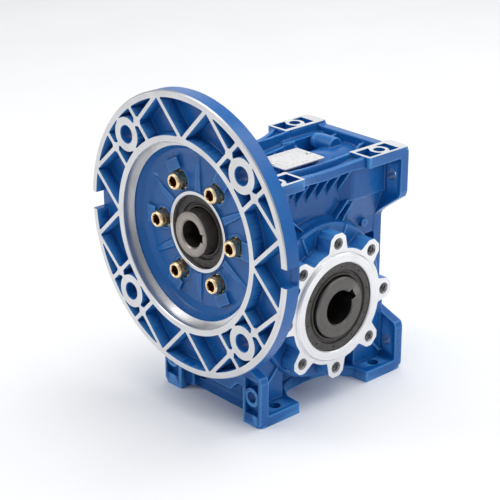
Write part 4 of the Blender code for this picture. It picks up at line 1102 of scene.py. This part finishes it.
def flange_fasteners():
    """The motor flange's six screws and the spring washers under them."""
    seat = CAP_SEAT_OUT + GAP
    head_seat = seat + SPRING_WASHER + GAP
    screw = cap_screw(CAP_SCREW_R, CAP_HEAD_R - 0.35, CAP_HEAD_LENGTH, 56 - head_seat, 7.0)
    washer = spring_washer(CAP_SCREW_R + GAP, CAP_HEAD_R, SPRING_WASHER - 0.3)
    for node, item, height, twist in (("input_flange_screw", screw, head_seat, 0.7),
                                      ("input_flange_washer", washer, seat, 1.3)):
        places = ring_of_frames(INPUT_FRAME, CAP_SCREW_PCD_R, height, CAP_SCREW_COUNT)
        numbered_pieces(node, item, places, "yellow_zinc", ZINC, twist)


def cover_fasteners():
    head_seat = COVER_FACE + GAP
    screw = cap_screw(M6_R, M6_HEAD_R, M6_HEAD_LENGTH, 26 - head_seat, 5.0)
    places = ring_of_frames(COVER_FRAME, COVER_SCREW_R, head_seat, COVER_SCREW_COUNT, COVER_SCREW_TURN)
    numbered_pieces("side_cover_screw", screw, places, "dark_steel", DARK_STEEL, 0.6)


def o_ring():
    section = arc((CAVITY_R - GAP - 1.05, 36.0), 0.95, 0, 330, 11)
    solid_piece("side_cover_o_ring", turned(section), COVER_FRAME, "casing", "seal_rubber", SEAL_RUBBER)


def plug(name, seat, matrix, slot, finish, washer_slot, washer_finish):
    """Socket screw plug with a flange under its head, and its soft washer."""
    washer_r, low, high = PLUG_HEAD_R + 0.5, seat + GAP, seat + GAP + 1.5
    under, tip = high + GAP, seat - PLUG_LENGTH
    top = under + 3.3
    profile = to_axis([(PLUG_R - 0.6, tip), (PLUG_R, tip + 0.6), (PLUG_R, under), (PLUG_HEAD_R, under),
                       (PLUG_HEAD_R, under + 2.4), (PLUG_HEAD_R - 0.9, top)])
    solid_piece(name, turned(softened(profile, 0.25)), matrix, "casing", slot, finish,
                hexagon_socket(4.6, 2.2, top))
    ring = [(PLUG_R + GAP, low), (washer_r, low), (washer_r, high), (PLUG_R + GAP, high)]
    solid_piece(name + "_washer", turned(softened(ring, 0.3)), matrix, "casing",
                washer_slot, washer_finish)


def rear_end_cap():
    """Pressed cap in the rear bore, with a shallow dish in its face."""
    radius = REAR_BEARING[1]
    dish, brim = radius * 0.55, radius * 0.68
    face = -HALF_LENGTH + 0.5
    profile = to_axis([(dish, face + 0.9), (brim, face), (radius - 1, face), (radius, face + 1),
                       (radius, face + 4.5), (radius - 1.5, face + 4.5), (radius - 1.5, face + 1.8),
                       (brim, face + 1.6), (dish, face + 2.4)])
    solid_piece("rear_end_cap", turned(softened(profile, 0.5)), INPUT_FRAME, "casing",
                "dark_steel", DARK_STEEL)


def plate_block(inset, longer, radius, low, high):
    """A block with rounded corners, set in from the nameplate's edge."""
    outline = rounded_rectangle((PLATE_LOW.x + inset, PLATE_LOW.y + inset + longer),
                                (PLATE_HIGH.x - inset, PLATE_HIGH.y - inset - longer), radius)
    return prism(outline, low, high)


def nameplate():
    """Blank plate with rounded corners, a pressed line round its edge and two domed rivets."""
    low, high = PLATE_LOW.z, PLATE_HIGH.z
    rivets = [(0.0, PLATE_LOW.y + 2.6), (0.0, PLATE_HIGH.y - 2.6)]
    holes = [moved(disc(1.3, low - 1, low + 2, 24), x, y) for x, y in rivets]
    line = raw_object("line", plate_block(3.6, 1.4, 1.6, high - 0.18, high + 1))
    cut(line, AS_MADE, plate_block(3.95, 1.4, 1.6, high - 0.68, high + 1.5))
    groove = bmesh.new()
    groove.from_mesh(line.data)
    bpy.data.objects.remove(line)
    solid_piece("nameplate", plate_block(0.0, 0.0, 2.0, low, high), IDENTITY, "casing",
                "plate_aluminium", PLATE_METAL, [*holes, groove])
    dome = [(0, low + 0.1), (1.0, low + 0.1), (1.0, low + 1.1), (1.8, low + 1.1), (1.7, low + 1.35),
            (1.1, low + 1.65), (0, low + 1.75)]
    rivet = raw_object("rivet", turned(softened(dome, 0.2), 40))
    places = [Matrix.Translation((x, y, 0)) for x, y in rivets]
    numbered_pieces("nameplate_rivet", rivet, places, "bare_aluminium", LOBE_METAL)


# ---------------------------------------------------------------- bearings, rings and seals

def bearing(name, size, start, matrix, balls, ring_body, finish):
    """A deep-groove ball bearing: two rings, and a snap cage with its balls."""
    inner_r, outer_r, width = size
    pitch_r = (inner_r + outer_r) / 2
    ball_r, shoulder = 0.27 * (outer_r - inner_r), 0.17 * (outer_r - inner_r)
    end, middle, soft = start + width, start + width / 2, 0.5
    bore_r, race_r = inner_r + GAP, ball_r + GAP + 0.2
    inner_land, outer_land = pitch_r - shoulder, pitch_r + shoulder
    outer_race = arc((pitch_r, middle), race_r, 38, -38, 8)
    inner_race = arc((pitch_r, middle), race_r, 218, 142, 8)
    outer = [(outer_r, start + soft), (outer_r, end - soft), (outer_r - soft, end), (outer_land, end),
             *outer_race, (outer_land, start), (outer_r - soft, start)]
    inner = [(bore_r + soft, start), (inner_land, start), *inner_race, (inner_land, end),
             (bore_r + soft, end), (bore_r, end - soft), (bore_r, start + soft)]
    for part, profile, body in (("outer", outer, "casing"), ("inner", inner, ring_body)):
        solid_piece(f"{name}_bearing_{part}_ring", turned(profile), matrix, body,
                    "bearing_steel", finish)
    ball = bmesh.new()
    bmesh.ops.create_uvsphere(ball, u_segments=24, v_segments=14, radius=ball_r)
    for face in ball.faces:
        face.material_index = 1
    low_r, high_r = inner_land + 2 * GAP, outer_land - 2 * GAP
    low, high = middle - 0.6 * ball_r, middle + 0.6 * ball_r
    ring = [(low_r, low), (high_r, low), (high_r, high), (low_r, high)]
    mesh = bpy.data.meshes.new(name)
    joined(turned(softened(ring, 0.4)), around(moved(ball, pitch_r, 0, middle), balls)).to_mesh(mesh)
    cage = linked_object(f"{name}_bearing_ball_cage_fine", mesh)
    mesh.materials.append(CAGE_POLYMER)
    mesh.materials.append(finish)
    mesh.transform(matrix)
    finished(cage, f"{name}_ball_cage", f"{name}_bearing_ball_cage", "cage_polymer",
             CAGE_POLYMER, finish)


def circlip(name, ring_r, inward, start, body):
    """Open retaining ring with two drilled ends."""
    inner, outer = sorted((ring_r, ring_r + 3.2 * inward))
    opening = 18
    outline = [*arc((0, 0), outer, opening, 360 - opening, 80),
               *arc((0, 0), inner, 360 - opening, opening, 80)]
    eye_r = (inner + outer) / 2
    turns = [radians(side * (opening + 3.2)) for side in (1, -1)]
    eyes = [moved(disc(0.8, start - 1, start + 4, 20), eye_r * cos(turn), eye_r * sin(turn))
            for turn in turns]
    solid_piece(name + "_retaining_ring", prism(outline, start, start + CIRCLIP), INPUT_FRAME, body,
                "dark_steel", DARK_STEEL, eyes)


def seal(name, inner_r, outer_r, start, matrix, dots):
    """Radial shaft seal: moulded face with a ring of small vents, a step down to the lip."""
    end = start + SEAL_WIDTH
    lip_r, flat = inner_r + 2 * GAP, outer_r - 5.2
    profile = [(lip_r, end - 1.4), (lip_r, start + 3), (inner_r + 2.4, start), (outer_r, start),
               (outer_r, end), (flat, end), (flat - 0.4, end - 1.6), (lip_r + 2.1, end - 1.9),
               (lip_r + 1.7, end - 0.6), (lip_r + 0.5, end - 0.6)]
    vent = moved(disc(0.7, end - 0.8, end + 1, 16), (outer_r + flat) / 2)
    solid_piece(name + "_oil_seal", turned(softened(profile, 0.3)), matrix, "casing", "seal_rubber",
                SEAL_RUBBER, [around(vent, dots, 0.2)] if dots else [])


def bearings_and_seals():
    """Bearings first, then the retaining rings, then the three seals."""
    output_near, output_far = OUTPUT_BEARING_X, -OUTPUT_BEARING_X - OUTPUT_BEARING[2]
    for name, size, start, balls in (("front", FRONT_BEARING, FRONT_BEARING_OUT, 7),
                                     ("rear", REAR_BEARING, REAR_START, 6)):
        bearing(name, size, start, INPUT_FRAME, balls, "worm", WORM_BEARING_STEEL)
    for name, start in (("right", output_near), ("left", output_far)):
        bearing(name, OUTPUT_BEARING, start, OUTPUT_FRAME, 8, "output", OUTPUT_BEARING_STEEL)
    front_end = FRONT_BEARING_OUT + FRONT_BEARING[2]
    circlip("front_bearing", FRONT_BEARING[1] + 1.2, -1, front_end + 1.5 * GAP, "casing")
    circlip("rear_bearing", REAR_BEARING[1] + 1.2, -1, REAR_START - 1.5 * GAP - CIRCLIP, "casing")
    circlip("worm_shaft", REAR_BEARING[0] - 0.7, 1, REAR_START - 1.5 * GAP - CIRCLIP, "worm")
    seal("input", SHAFT_END_R, HUB_BORE_R - GAP, INPUT_SEAL_OUT, INPUT_FRAME, 0)
    for name, matrix in (("right_output", OUTPUT_FRAME), ("left_output", FAR_FRAME)):
        seal(name, OUTPUT_SHAFT_R, OUTPUT_SEAL_R, SEAL_FACE_X - SEAL_WIDTH, matrix, 10)


# ---------------------------------------------------------------- shafts

def worm_thread():
    """One trapezoid thread with rounded crests, wound about Z and centred on -Y at height 0."""
    def flank(radius):
        return AXIAL_PITCH / 4 - BACKLASH / 2 - (radius - WORM_PITCH_R) * tan(PRESSURE_ANGLE)

    root_r, crest_r = WORM_ROOT_R - 0.8, WORM_TIP_R - 0.3
    corners = [(root_r, -flank(root_r)), (crest_r, -flank(crest_r)),
               (WORM_TIP_R, -flank(WORM_TIP_R) + 0.3)]
    section = corners + [(r, -z) for r, z in reversed(corners)]
    steps = int(THREAD_TURNS * THREAD_STEPS)
    rings = []
    for index in range(1, steps):
        turn = 2 * pi * (index - steps / 2 + 0.3) / THREAD_STEPS
        rise, angle = AXIAL_PITCH * turn / (2 * pi), turn - pi / 2
        fade = min(1.0, index / THREAD_FADE, (steps - index) / THREAD_FADE)
        ring = [(root_r + (r - root_r) * fade, z) for r, z in section]
        rings.append([(r * cos(angle), r * sin(angle), rise + z) for r, z in ring])
    return loft(rings)


def worm_shaft():
    """Worm with its journals, the rear circlip groove, and the motor's keyed bore."""
    journal_r, collar_r = REAR_BEARING[0], 18.5
    front_seat, rear_seat = FRONT_BEARING_OUT - GAP, -REAR_BEARING_Y + GAP
    rear_clip = REAR_START - GAP
    groove_end, tip, end = rear_clip - CIRCLIP - GAP, rear_clip - 5, SHAFT_END_OUT
    profile = to_axis([(journal_r - 0.8, tip), (journal_r, tip + 0.8), (journal_r, groove_end),
                       (journal_r - 1, groove_end), (journal_r - 1, rear_clip), (journal_r, rear_clip),
                       (journal_r, rear_seat), (13.5, rear_seat), (13.5, -38), (WORM_ROOT_R, -34),
                       (WORM_ROOT_R, 34), (collar_r, 43), (collar_r, front_seat),
                       (SHAFT_END_R, front_seat), (SHAFT_END_R, end - 0.5), (SHAFT_END_R - 0.5, end)])
    bore = turned([(0, INPUT_BORE_BOTTOM), (INPUT_BORE_R, INPUT_BORE_BOTTOM + 2),
                   (INPUT_BORE_R, end - 1), (INPUT_BORE_R + 1.5, end + 0.5), (0, end + 0.5)])
    half_key = INPUT_KEY_WIDTH / 2
    keyway = box((0, -half_key, INPUT_BORE_BOTTOM + 3), (INPUT_KEY_TOP, half_key, end + 1))
    solid_piece("worm_shaft", turned(softened(profile, 0.25)), INPUT_FRAME, "worm", "shaft_steel",
                WORM_STEEL, [bore, keyway], worm_thread())


def output_shaft():
    """Hollow shaft with the wheel's hub at mid length and a keyway right through."""
    shoulder, hub_r, half_hub, end = OUTPUT_BEARING_X - GAP, 38.0, 13.0, SHAFT_HIGH.x
    half = [(hub_r, half_hub), (27, half_hub + 2), (27, shoulder), (OUTPUT_SHAFT_R, shoulder),
            (OUTPUT_SHAFT_R, end - 1.1), (OUTPUT_SHAFT_R - 1.1, end), (OUTPUT_BORE_R + 0.9, end),
            (OUTPUT_BORE_R, end - 0.9)]
    profile = half + [(r, -x) for r, x in reversed(half)]
    half_key = OUTPUT_KEY_WIDTH / 2
    keyway = placed(box((0, -half_key, -end - 1), (OUTPUT_KEY_TOP, half_key, end + 1)),
                    Matrix.Rotation(OUTPUT_KEY_ANGLE, 4, "Z"))
    solid_piece("output_hollow_shaft", turned(softened(profile, 0.25)), OUTPUT_FRAME, "output",
                "shaft_steel", OUTPUT_STEEL, [keyway])


def wheel_rim():
    """The CAD's toothed rim keeps its shape, with a bronze finish."""
    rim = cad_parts["worm_wheel_rim"]
    rim.data.materials.clear()
    rim.data.materials.append(BRONZE)


# ---------------------------------------------------------------- stage, light and camera

def pale_floor():
    half = 6.0
    mesh = bpy.data.meshes.new("floor")
    corners = [(-half, -half), (half, -half), (half, half), (-half, half)]
    mesh.from_pydata([(x, y, -0.0002) for x, y in corners], [], [(0, 1, 2, 3)])
    floor = linked_object("floor", mesh)
    pale = Finish("pale_floor", (0.93, 0.93, 0.935), 0.9, 0.0)
    pale.colour(pale.ramp(pale.noise(120, 2), (0.3, (0.92, 0.92, 0.925)), (0.7, (0.94, 0.94, 0.945))))
    mesh.materials.append(pale.material)


def studio_light():
    """A pale room and five large soft lights, each with its place, its size and its power."""
    world = bpy.data.worlds.new("pale_room")
    world.use_nodes = True
    sky = world.node_tree.nodes["Background"]
    sky.inputs["Color"].default_value = (0.95, 0.97, 1.0, 1.0)
    sky.inputs["Strength"].default_value = 0.48
    bpy.context.scene.world = world
    bpy.context.scene.view_settings.view_transform = "Standard"

    for name, place, size, power in (("key", (-0.75, -1.1, 1.2), 0.8, 6.5),
                                     ("top", (0.1, 0.1, 1.6), 1.4, 14.0),
                                     ("side", (1.5, 0.5, 0.9), 0.7, 4.8),
                                     ("back", (-1.25, 1.2, 0.95), 1.1, 2.2),
                                     ("rear", (0.35, 1.45, 1.35), 1.1, 6.5)):
        lamp = bpy.data.lights.new(name, "AREA")
        lamp.size = size
        lamp.energy = power
        holder = linked_object(name, lamp)
        holder.location = place
        aim = Vector((0, 0, 0.09)) - holder.location
        holder.rotation_euler = aim.to_track_quat("-Z", "Y").to_euler()


def camera():
    """The camera stands in front and to the right, a little above, as a catalogue view is taken."""
    right = Vector((0.6770, 0.7360, -0.0028)).normalized()
    back = Vector((0.6809, -0.6262, 0.3798)).normalized()
    lens = bpy.data.cameras.new("camera")
    lens.sensor_width = 36.0
    lens.lens = 111.4
    view = linked_object("camera", lens)
    turn = Matrix((right, back.cross(right), back)).transposed().to_4x4()
    view.matrix_world = Matrix.Translation((0.7398, -0.7137, 0.5206)) @ turn
    bpy.context.scene.camera = view


# ---------------------------------------------------------------- assembly

pale_floor()
studio_light()
camera()
housing()
input_flange()
side_cover()
flange_fasteners()
cover_fasteners()
o_ring()
plug("filler_plug", FILLER_SEAT, FILLER_FRAME, "blue_paint", PAINT, "blue_paint", PAINT)
plug("drain_plug", DRAIN_SEAT, DRAIN_FRAME, "dark_steel", DARK_STEEL, "bare_aluminium", LOBE_METAL)
rear_end_cap()
nameplate()
bearings_and_seals()
worm_shaft()
output_shaft()
wheel_rim()
